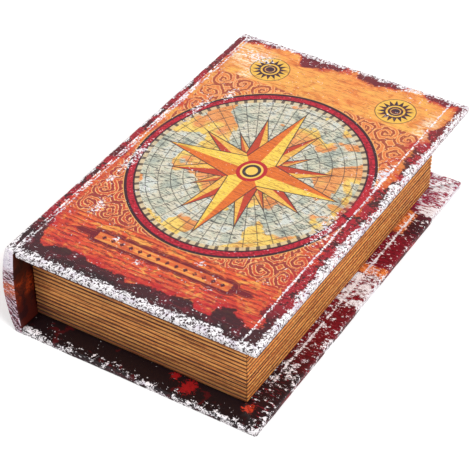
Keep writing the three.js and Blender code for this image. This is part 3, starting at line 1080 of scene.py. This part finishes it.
@dataclass(frozen=True)
class RawBoard:
    """Bare fibreboard, with its flecks and its pressed layers."""

    light: Colour = srgb(190, 158, 116)
    dark: Colour = srgb(142, 108, 70)
    speck: Colour = srgb(92, 62, 38)

    def material(self) -> bpy.types.Material:
        """Builds the finish."""
        bench = Bench("raw_board")
        fibres = bench.grain((0.9, 0.9, 3.0), 5, 0.7, 0.8)
        flecks = bench.grain(1.8, 2, 0.5, 0.0, 2.0)
        colour = bench.coats(
            self.dark,
            (self.light, bench.rise(fibres, 0.36, 0.62)),
            (self.speck, bench.rise(flecks, 0.66, 0.74) * 0.7),
        )
        return bench.finish(colour, 0.78 + (fibres - 0.5) * 0.3, bench.relief(fibres, 0.12, 0.7))


@dataclass(frozen=True)
class LiningCloth:
    """Dark short-pile cloth glued over card."""

    ground: Colour = srgb(38, 28, 28)
    lit: Colour = srgb(78, 60, 58)

    def material(self) -> bpy.types.Material:
        """Builds the finish, with brushed patches and a fine pile."""
        bench = Bench("lining_cloth")
        pile = bench.grain(3.6, 3, 0.7)
        brushed = bench.grain((0.05, 0.03, 0.05), 3, 0.5, 0.6)
        colour = bench.coats(
            self.ground,
            (self.lit, bench.rise(pile, 0.46, 0.72) * 0.55),
            (self.lit, bench.rise(brushed, 0.5, 0.64) * 0.3),
        )
        roughness = 0.94 + (pile - 0.5) * 0.1
        normal = bench.relief(pile, 0.22, 0.8)
        return bench.finish(colour, roughness, normal, Sheen_Weight=0.35, Sheen_Roughness=0.5)


@dataclass(frozen=True)
class NickelPlate:
    """Bright nickel plate with faint turning marks and a few rubbed spots."""

    metal: Colour = srgb(208, 210, 212)
    dull: Colour = srgb(150, 150, 152)

    def material(self) -> bpy.types.Material:
        """Builds the finish."""
        bench = Bench("nickel_plate")
        rubbed = bench.grain(0.9, 4, 0.6, 0.5)
        fine = bench.grain(6.0, 2, 0.6)
        colour = bench.paint(self.metal, self.dull, bench.rise(rubbed, 0.5, 0.66) * 0.6)
        roughness = 0.2 + bench.rise(rubbed, 0.44, 0.66) * 0.25 + (fine - 0.5) * 0.1
        return bench.finish(colour, roughness, bench.relief(fine, 0.02, 0.5), Metallic=1.0)


def block(low: Vector, high: Vector) -> Form:
    """A box between two corners.

    Args:
        low: Its lowest corner.
        high: Its highest corner.

    Returns:
        The box.
    """
    form = bmesh.new()
    bmesh.ops.create_cube(form, size=1.0)
    bmesh.ops.scale(form, vec=high - low, verts=form.verts)
    bmesh.ops.translate(form, vec=(low + high) / 2, verts=form.verts)
    return form


def cylinder(form: Form, radius: float, height: float, middle: Vector, segments: int) -> None:
    """Adds an upright cylinder.

    Args:
        form: What it is added to.
        radius: Its radius.
        height: Its height.
        middle: Its middle.
        segments: How many faces go round it.
    """
    bmesh.ops.create_cone(
        form,
        cap_ends=True,
        segments=segments,
        radius1=radius,
        radius2=radius,
        depth=height,
        matrix=Matrix.Translation(middle),
    )


def turn_about(form: Form, angle: float, axis: str) -> None:
    """Turns a form about X, Y or Z."""
    bmesh.ops.rotate(form, cent=(0, 0, 0), matrix=Matrix.Rotation(angle, 3, axis), verts=form.verts)


def soften(form: Form, edges: Iterable[bmesh.types.BMEdge], radius: float, segments: int = 3) -> None:
    """Rounds edges of a form.

    Args:
        form: What is rounded.
        edges: Which of its edges.
        radius: How far the rounding reaches.
        segments: How many faces go across it.
    """
    bmesh.ops.bevel(
        form,
        geom=list(edges),
        offset=radius,
        offset_type="OFFSET",
        segments=segments,
        profile=0.5,
        affect="EDGES",
        material=-1,
        clamp_overlap=True,
    )


def cut(
    form: Form, place: Sequence[float], normal: Sequence[float], drop_behind: bool = False
) -> None:
    """Cuts all of a form along a plane.

    Args:
        form: What is cut.
        place: A point of the plane.
        normal: The way that the plane faces.
        drop_behind: Whether what lies behind the plane goes.
    """
    bmesh.ops.bisect_plane(
        form,
        geom=[*form.verts, *form.edges, *form.faces],
        plane_co=place,
        plane_no=normal,
        clear_inner=drop_behind,
        dist=CUT_REACH,
    )


def score(form: Form, axis: int, low: float, high: float, pitch: float) -> None:
    """Cuts loops across a form at an even pitch, so that it can be bent.

    Args:
        form: What is cut.
        axis: The axis that the loops stand on.
        low: Where they start.
        high: Where they end.
        pitch: About how far they are apart.
    """
    steps = max(1, round((high - low) / pitch))
    normal = Vector([float(number == axis) for number in range(3)])
    for step in range(1, steps):
        cut(form, normal * (low + (high - low) * step / steps), normal)


def handmade(form: Form, reach: Callable[[Vector], Vector], wave: float, seed: float) -> None:
    """Moves points a little, as glue and hand work leave them.

    Args:
        form: What is moved.
        reach: How far a point may move on each axis.
        wave: The length of the unevenness.
        seed: Sets one piece's unevenness off from another's.
    """
    for vertex in form.verts:
        push = noise.noise_vector(vertex.co / wave + Vector((seed, seed * 1.7, seed * 0.4)))
        vertex.co += push * reach(vertex.co)


def as_mesh(name: str, form: Form) -> bpy.types.Mesh:
    """Turns a form into a mesh.

    Args:
        name: The mesh's name.
        form: The finished form. It is freed.

    Returns:
        The mesh.
    """
    mesh = bpy.data.meshes.new(name)
    form.to_mesh(mesh)
    form.free()
    return mesh


def place_in_scene(name: str, data: bpy.types.ID) -> bpy.types.Object:
    """Puts a mesh, a light or a camera into the scene.

    Args:
        name: The object's name.
        data: The mesh, the light or the camera.

    Returns:
        The object.
    """
    made = bpy.data.objects.new(name, data)
    bpy.context.scene.collection.objects.link(made)
    return made


@dataclass
class Piece:
    """One finished piece: its finish, and the CAD nodes that it stands for."""

    name: str
    body: Optional[str]
    finish: bpy.types.Material
    slot: str
    replaced: Sequence[str]
    sharp_angle: float = 40.0
    wall: float = 0.0

    def make(self, form: Form) -> bpy.types.Object:
        """Turns a form into the piece, gives it its finish and joins it to its body.

        Args:
            form: The finished form, in the row frame. It is freed.

        Returns:
            The piece's object.
        """
        bmesh.ops.remove_doubles(form, verts=form.verts, dist=SAME_PLACE)
        bmesh.ops.recalc_face_normals(form, faces=form.faces)
        mesh = as_mesh(self.name, form)
        mesh.materials.append(self.finish)
        mesh.shade_smooth()
        mesh.set_sharp_from_angle(angle=math.radians(self.sharp_angle))
        piece = place_in_scene(self.name, mesh)
        if self.wall:
            self._thicken(piece)
        if self.body:
            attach(piece, self.body)
        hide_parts(*self.replaced)
        log.info("%s: %d points, for %s", self.name, len(mesh.vertices), ", ".join(self.replaced))
        return piece

    def _thicken(self, piece: bpy.types.Object) -> None:
        """Gives a folded sheet its thickness, inwards.

        Args:
            piece: The sheet.
        """
        skin = piece.modifiers.new("wall", "SOLIDIFY")
        skin.thickness = self.wall
        skin.offset = -1.0
        skin.use_even_offset = False
        skin.use_quality_normals = True
        skin.use_rim = True


@dataclass
class Finishes:
    """The finishes of the whole book, each built once."""

    front: bpy.types.Material = field(default_factory=PrintedCovering(CoverSide.FRONT).material)
    spine: bpy.types.Material = field(default_factory=PrintedCovering(CoverSide.SPINE).material)
    back: bpy.types.Material = field(default_factory=PrintedCovering(CoverSide.BACK).material)
    pages: bpy.types.Material = field(default_factory=PageStain().material)
    board: bpy.types.Material = field(default_factory=RawBoard().material)
    lining: bpy.types.Material = field(default_factory=LiningCloth().material)
    nickel: bpy.types.Material = field(default_factory=NickelPlate().material)


@dataclass
class CoveredBoard:
    """A board in its printed covering, folded over the edges and turned in on the inner face."""

    name: str
    node: str
    body: str
    finish: bpy.types.Material
    inner_face_up: bool
    open_at_spine: bool
    turn_in: float
    seed: float
    skin: float = 0.6 * MM
    fold: float = 0.85 * MM
    fold_angle: float = 0.6
    corner: float = 1.3 * MM
    mitre: float = 0.24 * MM
    pitch: float = 5 * MM
    wave: float = 14 * MM
    outline: float = 2 * MM
    stray: float = 0.22 * MM
    lift: float = 0.05 * MM

    def build(self) -> bpy.types.Object:
        """Builds the covering as one folded sheet.

        Returns:
            The covering's object.
        """
        low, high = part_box(self.node)
        open_side = low.x
        if self.open_at_spine:
            low = low - Vector((2 * self.turn_in, 0, 0))
        form = block(low, high)
        soften(form, [e for e in form.edges if self._rises(e)], self.corner, 4)
        corners = [e for e in form.edges if e.calc_face_angle(0) > self.fold_angle]
        soften(form, [e for e in corners if not self._rises(e)], self.fold)
        self._open_window(form, low, high)
        if self.open_at_spine:
            cut(form, (open_side, 0, 0), (1, 0, 0), drop_behind=True)
            low.x = open_side
        self._score(form, low, high)
        self._mitre(form, low, high)
        handmade(form, lambda point: self._slack(point, low, high), self.wave, self.seed)
        return Piece(
            self.name, self.body, self.finish, "printed_covering", (self.node,), wall=self.skin
        ).make(form)

    def _score(self, form: Form, low: Vector, high: Vector) -> None:
        """Cuts loops across the sheet that meet on the diagonal of each mitred corner.

        Args:
            form: The folded sheet.
            low: Its lowest corner.
            high: Its highest corner.
        """
        step = self.turn_in / round(self.turn_in / self.pitch)
        for axis in (0, 1):
            first, last = low[axis], high[axis] - self.turn_in
            if axis == 1 or not self.open_at_spine:
                first += self.turn_in
                score(form, axis, low[axis], first, step)
            score(form, axis, first, last, self.pitch)
            score(form, axis, last, high[axis], step)

    @staticmethod
    def _rises(edge: bmesh.types.BMEdge) -> bool:
        """True for an edge that isn't level."""
        return abs(edge.verts[0].co.z - edge.verts[1].co.z) > SAME_PLACE

    def _slack(self, point: Vector, low: Vector, high: Vector) -> Vector:
        """How far a point of the covering may stray: along its outline, and barely up or down."""
        near_x = high.x - point.x < self.outline
        near_y = min(point.y - low.y, high.y - point.y) < self.outline
        return Vector((self.stray * near_x, self.stray * near_y, self.lift))

    def _open_window(self, form: Form, low: Vector, high: Vector) -> None:
        """Opens the inner face inside its turned-in margin.

        Args:
            form: The folded box.
            low: Its lowest corner.
            high: Its highest corner.
        """
        inside_low = low + Vector((1, 1, 0)) * self.turn_in
        inside_high = high - Vector((1, 1, 0)) * self.turn_in
        for axis in (0, 1):
            for corner in (inside_low, inside_high):
                cut(form, corner, Vector((1 - axis, axis, 0)))
        level = self._inner_level(low, high)

        def inside(middle: Vector) -> bool:
            """True inside the margin, on the inner face."""
            return (
                abs(middle.z - level) < SAME_PLACE
                and inside_low.x < middle.x < inside_high.x
                and inside_low.y < middle.y < inside_high.y
            )

        window = [f for f in form.faces if inside(f.calc_center_median())]
        bmesh.ops.delete(form, geom=window, context="FACES")

    def _inner_level(self, low: Vector, high: Vector) -> float:
        """The height of the face that looks into the book."""
        return high.z if self.inner_face_up else low.z

    def _mitre(self, form: Form, low: Vector, high: Vector) -> None:
        """Slits the turned-in margin along the diagonal of each corner.

        Args:
            form: The folded sheet.
            low: Its lowest corner.
            high: Its highest corner.
        """
        level = self._inner_level(low, high)
        corners = [(high.x, low.y, 1, -1), (high.x, high.y, 1, 1)]
        if not self.open_at_spine:
            corners += [(low.x, low.y, -1, -1), (low.x, high.y, -1, 1)]
        for at_x, at_y, side_x, side_y in corners:
            corner = Vector((at_x, at_y, level))
            normal = Vector((side_x, -side_y, 0)).normalized()

            def inset(point: Vector) -> tuple[float, float]:
                """How far a point lies inside the corner, on each axis."""
                return (at_x - point.x) * side_x, (at_y - point.y) * side_y

            def on_margin(point: Vector) -> bool:
                """True on the turned-in square of this corner."""
                near, far = sorted(inset(point))
                in_reach = self.fold * 0.9 < near and far < self.turn_in + SAME_PLACE
                return abs(point.z - level) < SAME_PLACE and in_reach

            def on_diagonal(point: Vector) -> bool:
                """True where the two folds of this corner meet."""
                across, along = inset(point)
                return abs(across - along) < SAME_PLACE and on_margin(point)

            square = [f for f in form.faces if all(on_margin(v.co) for v in f.verts)]
            parts = list(square)
            for face in square:
                parts += [*face.edges, *face.verts]
            parts = list(dict.fromkeys(parts))
            bmesh.ops.bisect_plane(form, geom=parts, plane_co=corner, plane_no=normal, dist=MITRE_REACH)
            diagonal = [e for e in form.edges if all(on_diagonal(v.co) for v in e.verts)]
            bmesh.ops.split_edges(form, edges=diagonal)
            for vertex in form.verts:
                if not on_diagonal(vertex.co):
                    continue
                leans = [normal.dot(f.calc_center_median() - corner) for f in vertex.link_faces]
                if min(leans) * max(leans) > 0:
                    vertex.co += normal * math.copysign(self.mitre / 2, leans[0])


@dataclass
class Spine:
    """The solid rounded spine in its covering, which is turned in at both ends of its inner face."""

    node: str = "spine_cover_wrap"
    rise: float = 4.9 * MM
    hollow: float = 1.7 * MM
    board: float = 4.3 * MM
    turn_in: float = 19 * MM
    fold: float = 0.8 * MM
    fold_angle: float = 0.7
    skin: float = 0.6 * MM
    pitch: float = 5 * MM
    arc_steps: int = 22
    wave: float = 16 * MM
    seed: float = 5.0
    still: float = 3 * MM
    stray: tuple[float, float, float] = (0.25 * MM, 0.15 * MM, 0.05 * MM)

    def build(self, finish: bpy.types.Material) -> bpy.types.Object:
        """Builds the covering from its cross-section.

        Args:
            finish: The printed covering's spine finish.

        Returns:
            The covering's object.
        """
        low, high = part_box(self.node)
        form = self._bar(low, high)
        soften(form, [e for e in form.edges if self._is_fold(e)], self.fold)
        for level in (low.y + self.turn_in, high.y - self.turn_in):
            cut(form, (0, level, 0), (0, 1, 0))
        window = [f for f in form.faces if self._in_window(f, low, high)]
        bmesh.ops.delete(form, geom=window, context="FACES")
        score(form, 1, low.y, high.y, self.pitch)
        handmade(form, lambda point: self._slack(point, high), self.wave, self.seed)
        return Piece(
            "spine_covering", "case", finish, "printed_covering", (self.node,), wall=self.skin
        ).make(form)

    def _bar(self, low: Vector, high: Vector) -> Form:
        """The solid bar: rounded outside, hollowed inside between the two boards' edges.

        Args:
            low: Its lowest corner.
            high: Its highest corner.

        Returns:
            The bar.
        """
        form = bmesh.new()
        outer = self._arc(form, low.x + self.rise, low.z, high.z, self.rise, low.y)
        inner = self._arc(form, high.x, low.z + self.board, high.z - self.board, self.hollow, low.y)
        foot = form.verts.new((high.x, low.y, low.z))
        head = form.verts.new((high.x, low.y, high.z))
        for pair in ((outer[0], foot), (foot, inner[0]), (inner[-1], head), (head, outer[-1])):
            form.edges.new(pair)
        section = bmesh.ops.contextual_create(form, geom=list(form.edges))["faces"]
        drawn = bmesh.ops.extrude_face_region(form, geom=section)["geom"]
        far_end = [g for g in drawn if isinstance(g, bmesh.types.BMVert)]
        bmesh.ops.translate(form, vec=(0, high.y - low.y, 0), verts=far_end)
        bmesh.ops.recalc_face_normals(form, faces=form.faces)
        return form

    def _in_window(self, face: bmesh.types.BMFace, low: Vector, high: Vector) -> bool:
        """Whether a face is one of the hollow's, between the turned-in ends.

        Args:
            face: The face.
            low: The bar's lowest corner.
            high: The bar's highest corner.

        Returns:
            True where the bare board shows.
        """
        middle = face.calc_center_median()
        return (
            face.normal.x > 0.9
            and middle.x > high.x - self.hollow - 0.1 * MM
            and low.z + self.board < middle.z < high.z - self.board
            and abs(middle.y) < high.y - self.turn_in
        )

    def _slack(self, point: Vector, high: Vector) -> Vector:
        """How far a point may stray: nowhere at the inner face, a little on the rounded one."""
        across, along, up = self.stray
        return Vector((across * (point.x < high.x - self.still), along, up))

    def _is_fold(self, edge: bmesh.types.BMEdge) -> bool:
        """True for the sharp edges along the spine and round its ends."""
        return len(edge.link_faces) == 2 and edge.calc_face_angle(0) > self.fold_angle

    def _arc(
        self, form: Form, edge_x: float, low_z: float, high_z: float, rise: float, at_y: float
    ) -> list[bmesh.types.BMVert]:
        """Spins a point into an arc that bulges towards the spine side.

        Args:
            form: Where the arc is made.
            edge_x: Where both of its ends lie.
            low_z: Its lower end.
            high_z: Its upper end.
            rise: How far its middle stands out.
            at_y: The section that it lies in.

        Returns:
            Its points, from the lower end up.
        """
        chord = high_z - low_z
        radius = (chord * chord / 4 + rise * rise) / (2 * rise)
        start = form.verts.new((edge_x, at_y, low_z))
        before = set(form.verts) - {start}
        bmesh.ops.spin(
            form,
            geom=[start],
            cent=Vector((edge_x - rise + radius, at_y, (low_z + high_z) / 2)),
            axis=(0, 1, 0),
            angle=2 * math.asin(chord / 2 / radius),
            steps=self.arc_steps,
            use_merge=False,
            use_duplicate=False,
        )
        return sorted(set(form.verts) - before, key=lambda v: v.co.z)


@dataclass
class HingeStrip:
    """The bare stretch of covering between the spine and the lid, over the hinge."""

    node: str = "hinge_cloth"
    gap: float = 1.4 * MM
    lap: float = 0.55 * MM
    dip: float = 0.22 * MM
    sunk: float = 0.03 * MM
    short_of_end: float = 0.9 * MM
    skin: float = 0.5 * MM
    across: int = 14
    along: int = 60

    def build(self, finish: bpy.types.Material) -> bpy.types.Object:
        """Builds the strip with a shallow crease along its middle.

        Args:
            finish: The printed covering's front finish.

        Returns:
            The strip's object.
        """
        low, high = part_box(self.node)
        middle = (low + high) / 2
        half = self.gap / 2 + self.lap
        form = bmesh.new()
        bmesh.ops.create_grid(form, x_segments=self.across, y_segments=self.along, size=1.0)
        bmesh.ops.scale(form, vec=(half, (high.y - low.y) / 2 - self.short_of_end, 1), verts=form.verts)
        bmesh.ops.translate(form, vec=(middle.x, middle.y, high.z), verts=form.verts)
        for vertex in form.verts:
            off = (vertex.co.x - middle.x) / half
            vertex.co.z -= self.dip * math.cos(off * math.pi / 2) ** 2 + self.sunk
        piece = Piece(
            "hinge_strip", None, finish, "printed_covering", (self.node,), wall=self.skin
        ).make(form)
        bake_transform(piece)
        return piece


@dataclass
class PageBlock:
    """The three walls that look like the edges of leaves."""

    sharp_angle: float = 50.0
    bundles: int = 19
    rows_in_bundle: int = 8
    leaves_in_bundle: int = 3
    column_pitch: float = 6 * MM
    groove: float = 0.66 * MM
    leaf: float = 0.16 * MM
    behind: float = 0.02 * MM
    waver: float = 0.06 * MM
    wave: float = 20 * MM
    waves_up: float = 60.0
    waver_fades: float = 8 * MM
    smooth_mark: float = 0.25
    glue_line: float = 0.02 * MM
    pocket: float = 3.3 * MM
    pocket_depth: float = 2.3 * MM
    pocket_segments: int = 40
    drill_height: float = 4 * MM

    def build(self, finish: bpy.types.Material) -> list[bpy.types.Object]:
        """Builds the walls.

        Args:
            finish: The page stain.

        Returns:
            The walls' objects.
        """
        walls = []
        for node, angle, mitres in (
            ("tail_page_wall", 0.0, (False, True)),
            ("head_page_wall", math.pi, (True, False)),
            ("fore_edge_page_wall", math.pi / 2, (True, True)),
        ):
            low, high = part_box(node)
            middle = (low + high) / 2
            length, thickness = high.x - low.x, high.y - low.y
            face = Vector((middle.x, high.y if angle else low.y, low.z))
            sideways = node.startswith("fore")
            if sideways:
                length, thickness = thickness, length
                face = Vector((high.x, middle.y, low.z))
            form = self._wall(length, high.z - low.z, thickness, mitres)
            turn_about(form, angle, "Z")
            bmesh.ops.translate(form, vec=face, verts=form.verts)
            name = node.replace("page_wall", "leaves")
            piece = Piece(name, "case", finish, "page_wall", (node,), self.sharp_angle).make(form)
            if sideways:
                self._drill(piece)
            walls.append(piece)
        return walls

    def _depth(self, share: float) -> float:
        """How far the leaves lie behind the outer face, at a share of the wall's height."""
        place = min(max(share, 0.0), 0.99999) * self.bundles
        bundle, within = int(place), place % 1.0
        jitter = noise.noise(Vector((bundle * 1.37, 4.2, 0.5)))
        deep = self.groove * (0.82 + 0.45 * jitter)
        ridge = math.sin(math.pi * within) ** 0.7
        fine = 0.5 - 0.5 * math.cos(math.tau * self.leaves_in_bundle * within + jitter)
        return deep * (1 - ridge) + self.leaf * fine * (0.6 + 0.8 * abs(jitter)) + self.behind

    def _wall(self, length: float, height: float, thickness: float, mitres: tuple[bool, bool]) -> Form:
        """A wall that faces -Y, with its outer face on Y = 0 and its foot on Z = 0.

        Args:
            length: Its length on the outer face, along X.
            height: Its height.
            thickness: Its thickness.
            mitres: Whether its low and high X ends are mitred.

        Returns:
            The wall's form, with the depth of its grooves, from 0 to 1, as "groove".
        """
        form = bmesh.new()
        columns = max(2, round(length / self.column_pitch))
        rows = self.bundles * self.rows_in_bundle
        bmesh.ops.create_grid(form, x_segments=columns, y_segments=rows, size=0.5)
        turn_about(form, math.pi / 2, "X")
        marks = form.verts.layers.float.new("groove")
        for vertex in form.verts:
            share = vertex.co.z + 0.5
            depth = self._depth(share)
            waver = noise.noise(Vector((vertex.co.x * length / self.wave, share * self.waves_up, 1.0)))
            fade = min(1.0, (0.5 - abs(vertex.co.x)) * length / self.waver_fades)
            vertex[marks] = min(1.0, depth / (self.groove * 1.15))
            vertex.co = Vector((vertex.co.x, depth + self.waver * waver * fade, share * height))
        grown = bmesh.ops.extrude_edge_only(form, edges=[e for e in form.edges if e.is_boundary])["geom"]
        for vertex in (g for g in grown if isinstance(g, bmesh.types.BMVert)):
            vertex.co.y = thickness
            vertex[marks] = self.smooth_mark
        bmesh.ops.holes_fill(form, edges=[e for e in form.edges if e.is_boundary], sides=0)
        setback = self.glue_line / math.sqrt(2)
        for vertex in form.verts:
            cut_low, cut_high = (vertex.co.y + setback if mitred else 0.0 for mitred in mitres)
            share = vertex.co.x + 0.5
            vertex.co.x = (1 - share) * (cut_low - length / 2) + share * (length / 2 - cut_high)
        return form

    def _drill(self, wall: bpy.types.Object) -> None:
        """Sinks the two magnet pockets into the fore-edge wall's rim.

        Args:
            wall: The fore-edge wall.
        """
        form = bmesh.new()
        for node in ("tail_side_case_magnet", "head_side_case_magnet"):
            low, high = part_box(node)
            middle = (low + high) / 2
            middle.z = high.z - self.pocket_depth + self.drill_height / 2
            cylinder(form, self.pocket, self.drill_height, middle, self.pocket_segments)
        drill = place_in_scene("pocket_tool", as_mesh("pocket_tool", form))
        sink = wall.modifiers.new("pockets", "BOOLEAN")
        sink.object, sink.operation, sink.solver = drill, "DIFFERENCE", "EXACT"
        graph = bpy.context.evaluated_depsgraph_get()
        drilled = bpy.data.meshes.new_from_object(wall.evaluated_get(graph))
        wall.modifiers.clear()
        wall.data = drilled
        drilled.name = wall.name
        bpy.data.objects.remove(drill)


@dataclass
class Linings:
    """Cloth-covered cards on the tray's floor and walls, and on the lid's underside."""

    edge: float = 0.42 * MM
    pitch: float = 7 * MM
    wave: float = 11 * MM
    stray: float = 0.07 * MM
    in_case: Sequence[str] = (
        "floor_lining",
        "tail_lining",
        "head_lining",
        "fore_edge_lining",
        "spine_side_lining",
    )
    in_lid: Sequence[str] = ("lid_lining",)

    def build(self, finish: bpy.types.Material) -> list[bpy.types.Object]:
        """Builds the cards with rounded, slightly uneven edges.

        Args:
            finish: The lining cloth.

        Returns:
            The cards' objects.
        """
        made = []
        for number, node in enumerate((*self.in_case, *self.in_lid)):
            low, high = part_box(node)
            form = block(low, high)
            soften(form, form.edges, self.edge)
            for axis in range(3):
                if high[axis] - low[axis] > 3 * self.pitch:
                    score(form, axis, low[axis], high[axis], self.pitch)
            handmade(form, lambda point: Vector((self.stray,) * 3), self.wave, float(number))
            body = "lid" if node in self.in_lid else "case"
            card = Piece(node.replace("lining", "lining_card"), body, finish, "lining", (node,))
            made.append(card.make(form))
        return made


@dataclass
class Magnets:
    """The two pairs of nickel-plated discs that hold the lid shut."""

    edge: float = 0.25 * MM
    edge_angle: float = 1.0
    segments: int = 48

    def build(self, finish: bpy.types.Material) -> list[bpy.types.Object]:
        """Builds the discs with broken edges.

        Args:
            finish: The nickel plate.

        Returns:
            The discs' objects.
        """
        made = []
        for body in ("case", "lid"):
            for node in (f"tail_side_{body}_magnet", f"head_side_{body}_magnet"):
                low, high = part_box(node)
                form = bmesh.new()
                cylinder(form, (high.x - low.x) / 2, high.z - low.z, (low + high) / 2, self.segments)
                rims = [e for e in form.edges if e.calc_face_angle(0) > self.edge_angle]
                soften(form, rims, self.edge, 2)
                disc = Piece(node.replace("magnet", "disc"), body, finish, "magnet", (node,))
                made.append(disc.make(form))
        return made


@dataclass
class Boards:
    """The bare boards, which keep their CAD shape and are hardly seen."""

    nodes: Sequence[str] = ("back_board", "spine_board", "front_board", "spine_side_wall")

    def dress(self, finish: bpy.types.Material) -> None:
        """Gives each board the raw fibreboard finish.

        Args:
            finish: The raw board.
        """
        for name in self.nodes:
            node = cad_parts[name]
            node.data.materials.clear()
            node.data.materials.append(finish)
            log.info("%s: CAD shape, raw board", name)


@dataclass(frozen=True)
class Lamp:
    """A distant light: its strength, the way to it, and how wide it looks, in degrees."""

    name: str
    strength: float
    direction: tuple[float, float, float]
    spread: float

    def hang(self) -> None:
        """Adds the light to the scene."""
        data = bpy.data.lights.new(self.name, "SUN")
        data.energy = self.strength
        data.angle = math.radians(self.spread)
        lamp = place_in_scene(self.name, data)
        lamp.rotation_euler = Vector(self.direction).to_track_quat("Z", "Y").to_euler()


@dataclass(frozen=True)
class Studio:
    """A pale plain floor, a soft key light from the right, and an even surround."""

    place: tuple[float, float, float] = (0.37149, -0.61021, 0.60768)
    azimuth: float = 31.825
    elevation: float = 39.706
    roll: float = -0.496
    focal_pixels: float = 1635.2
    frame_pixels: float = 470.0
    sensor: float = 36.0
    surround: float = 0.62
    lamps: Sequence[Lamp] = (
        Lamp("key", 1.95, (0.85, -0.28, 1.0), 24.0),
        Lamp("front", 0.39, (-0.35, -1.0, 0.75), 50.0),
    )
    floor_grey: float = 0.7
    floor_seen: float = 0.82
    floor_lift: float = 0.32
    floor_half: float = 3.0

    def build(self) -> None:
        """Builds the camera, the lights, the surround and the floor."""
        self._camera()
        for lamp in self.lamps:
            lamp.hang()
        self._surround()
        self._floor()
        bpy.context.scene.view_settings.view_transform = "Standard"
        log.info("studio ready")

    def _camera(self) -> None:
        """Stands the camera where the photograph was taken from."""
        around, up = math.radians(self.azimuth), math.radians(self.elevation)
        back = Vector((math.sin(around) * math.cos(up), -math.cos(around) * math.cos(up), math.sin(up)))
        right = (-back).cross(Vector((0, 0, 1))).normalized()
        over = right.cross(-back)
        lean = math.radians(self.roll)
        side = math.cos(lean) * right + math.sin(lean) * over
        top = -math.sin(lean) * right + math.cos(lean) * over
        data = bpy.data.cameras.new("camera")
        data.sensor_width = self.sensor
        data.lens = self.focal_pixels / self.frame_pixels * self.sensor
        camera = place_in_scene("camera", data)
        facing = Matrix((side, top, back)).transposed()
        camera.matrix_world = Matrix.Translation(self.place) @ facing.to_4x4()
        bpy.context.scene.camera = camera

    def _surround(self) -> None:
        """A white room that the camera and the glossy parts see, which lights more gently."""
        world = bpy.data.worlds.new("surround")
        bpy.context.scene.world = world
        world.use_nodes = True
        world.node_tree.nodes.clear()
        wiring = Wiring(world.node_tree)
        path = wiring.node("ShaderNodeLightPath").outputs
        rays = (Signal(wiring, path[f"Is {ray} Ray"]) for ray in ("Camera", "Transmission", "Glossy"))
        strength = self.surround + wiring.most(*rays) * (1 - self.surround)
        light = wiring.node("ShaderNodeBackground", {}, {"Color": (1, 1, 1, 1), "Strength": strength})
        wiring.node("ShaderNodeOutputWorld", {}, {"Surface": light.outputs[0]})

    def _floor(self) -> None:
        """A pale floor that keeps the book's shadow and meets the white surround."""
        form = bmesh.new()
        bmesh.ops.create_grid(form, x_segments=4, y_segments=4, size=self.floor_half)
        mesh = as_mesh("floor", form)
        floor = place_in_scene("floor", mesh)
        material = bpy.data.materials.new("floor_white")
        material.use_nodes = True
        material.node_tree.nodes.clear()
        wiring = Wiring(material.node_tree)
        seen = wiring.node("ShaderNodeLightPath").outputs["Is Camera Ray"]
        glow = {"Color": (1, 1, 1, 1), "Strength": self.floor_lift}
        lift = wiring.node("ShaderNodeEmission", {}, glow)
        plain, matt = (
            wiring.node("ShaderNodeBsdfDiffuse", {}, {"Color": (grey, grey, grey, 1)})
            for grey in (self.floor_grey, self.floor_seen)
        )
        both = wiring.node("ShaderNodeAddShader", {}, {0: lift.outputs[0], 1: matt.outputs[0]})
        pick = wiring.node("ShaderNodeMixShader", {}, {0: seen, 1: plain.outputs[0], 2: both.outputs[0]})
        wiring.node("ShaderNodeOutputMaterial", {}, {"Surface": pick.outputs[0]})
        mesh.materials.append(material)


def main() -> None:
    """Builds the studio and the book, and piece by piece."""
    logging.basicConfig(level=logging.INFO, format="%(name)s: %(message)s")
    noise.seed_set(NOISE_SEED)
    Studio().build()
    finishes = Finishes()
    CoveredBoard(
        "back_cover",
        "back_cover_wrap",
        "case",
        finishes.back,
        inner_face_up=True,
        open_at_spine=True,
        turn_in=19 * MM,
        seed=3.0,
    ).build()
    CoveredBoard(
        "front_cover",
        "front_cover_wrap",
        "lid",
        finishes.front,
        inner_face_up=False,
        open_at_spine=False,
        turn_in=30 * MM,
        seed=8.0,
    ).build()
    Spine().build(finishes.spine)
    HingeStrip().build(finishes.front)
    PageBlock().build(finishes.pages)
    Linings().build(finishes.lining)
    Magnets().build(finishes.nickel)
    Boards().dress(finishes.board)


if __name__ == "__main__":
    main()
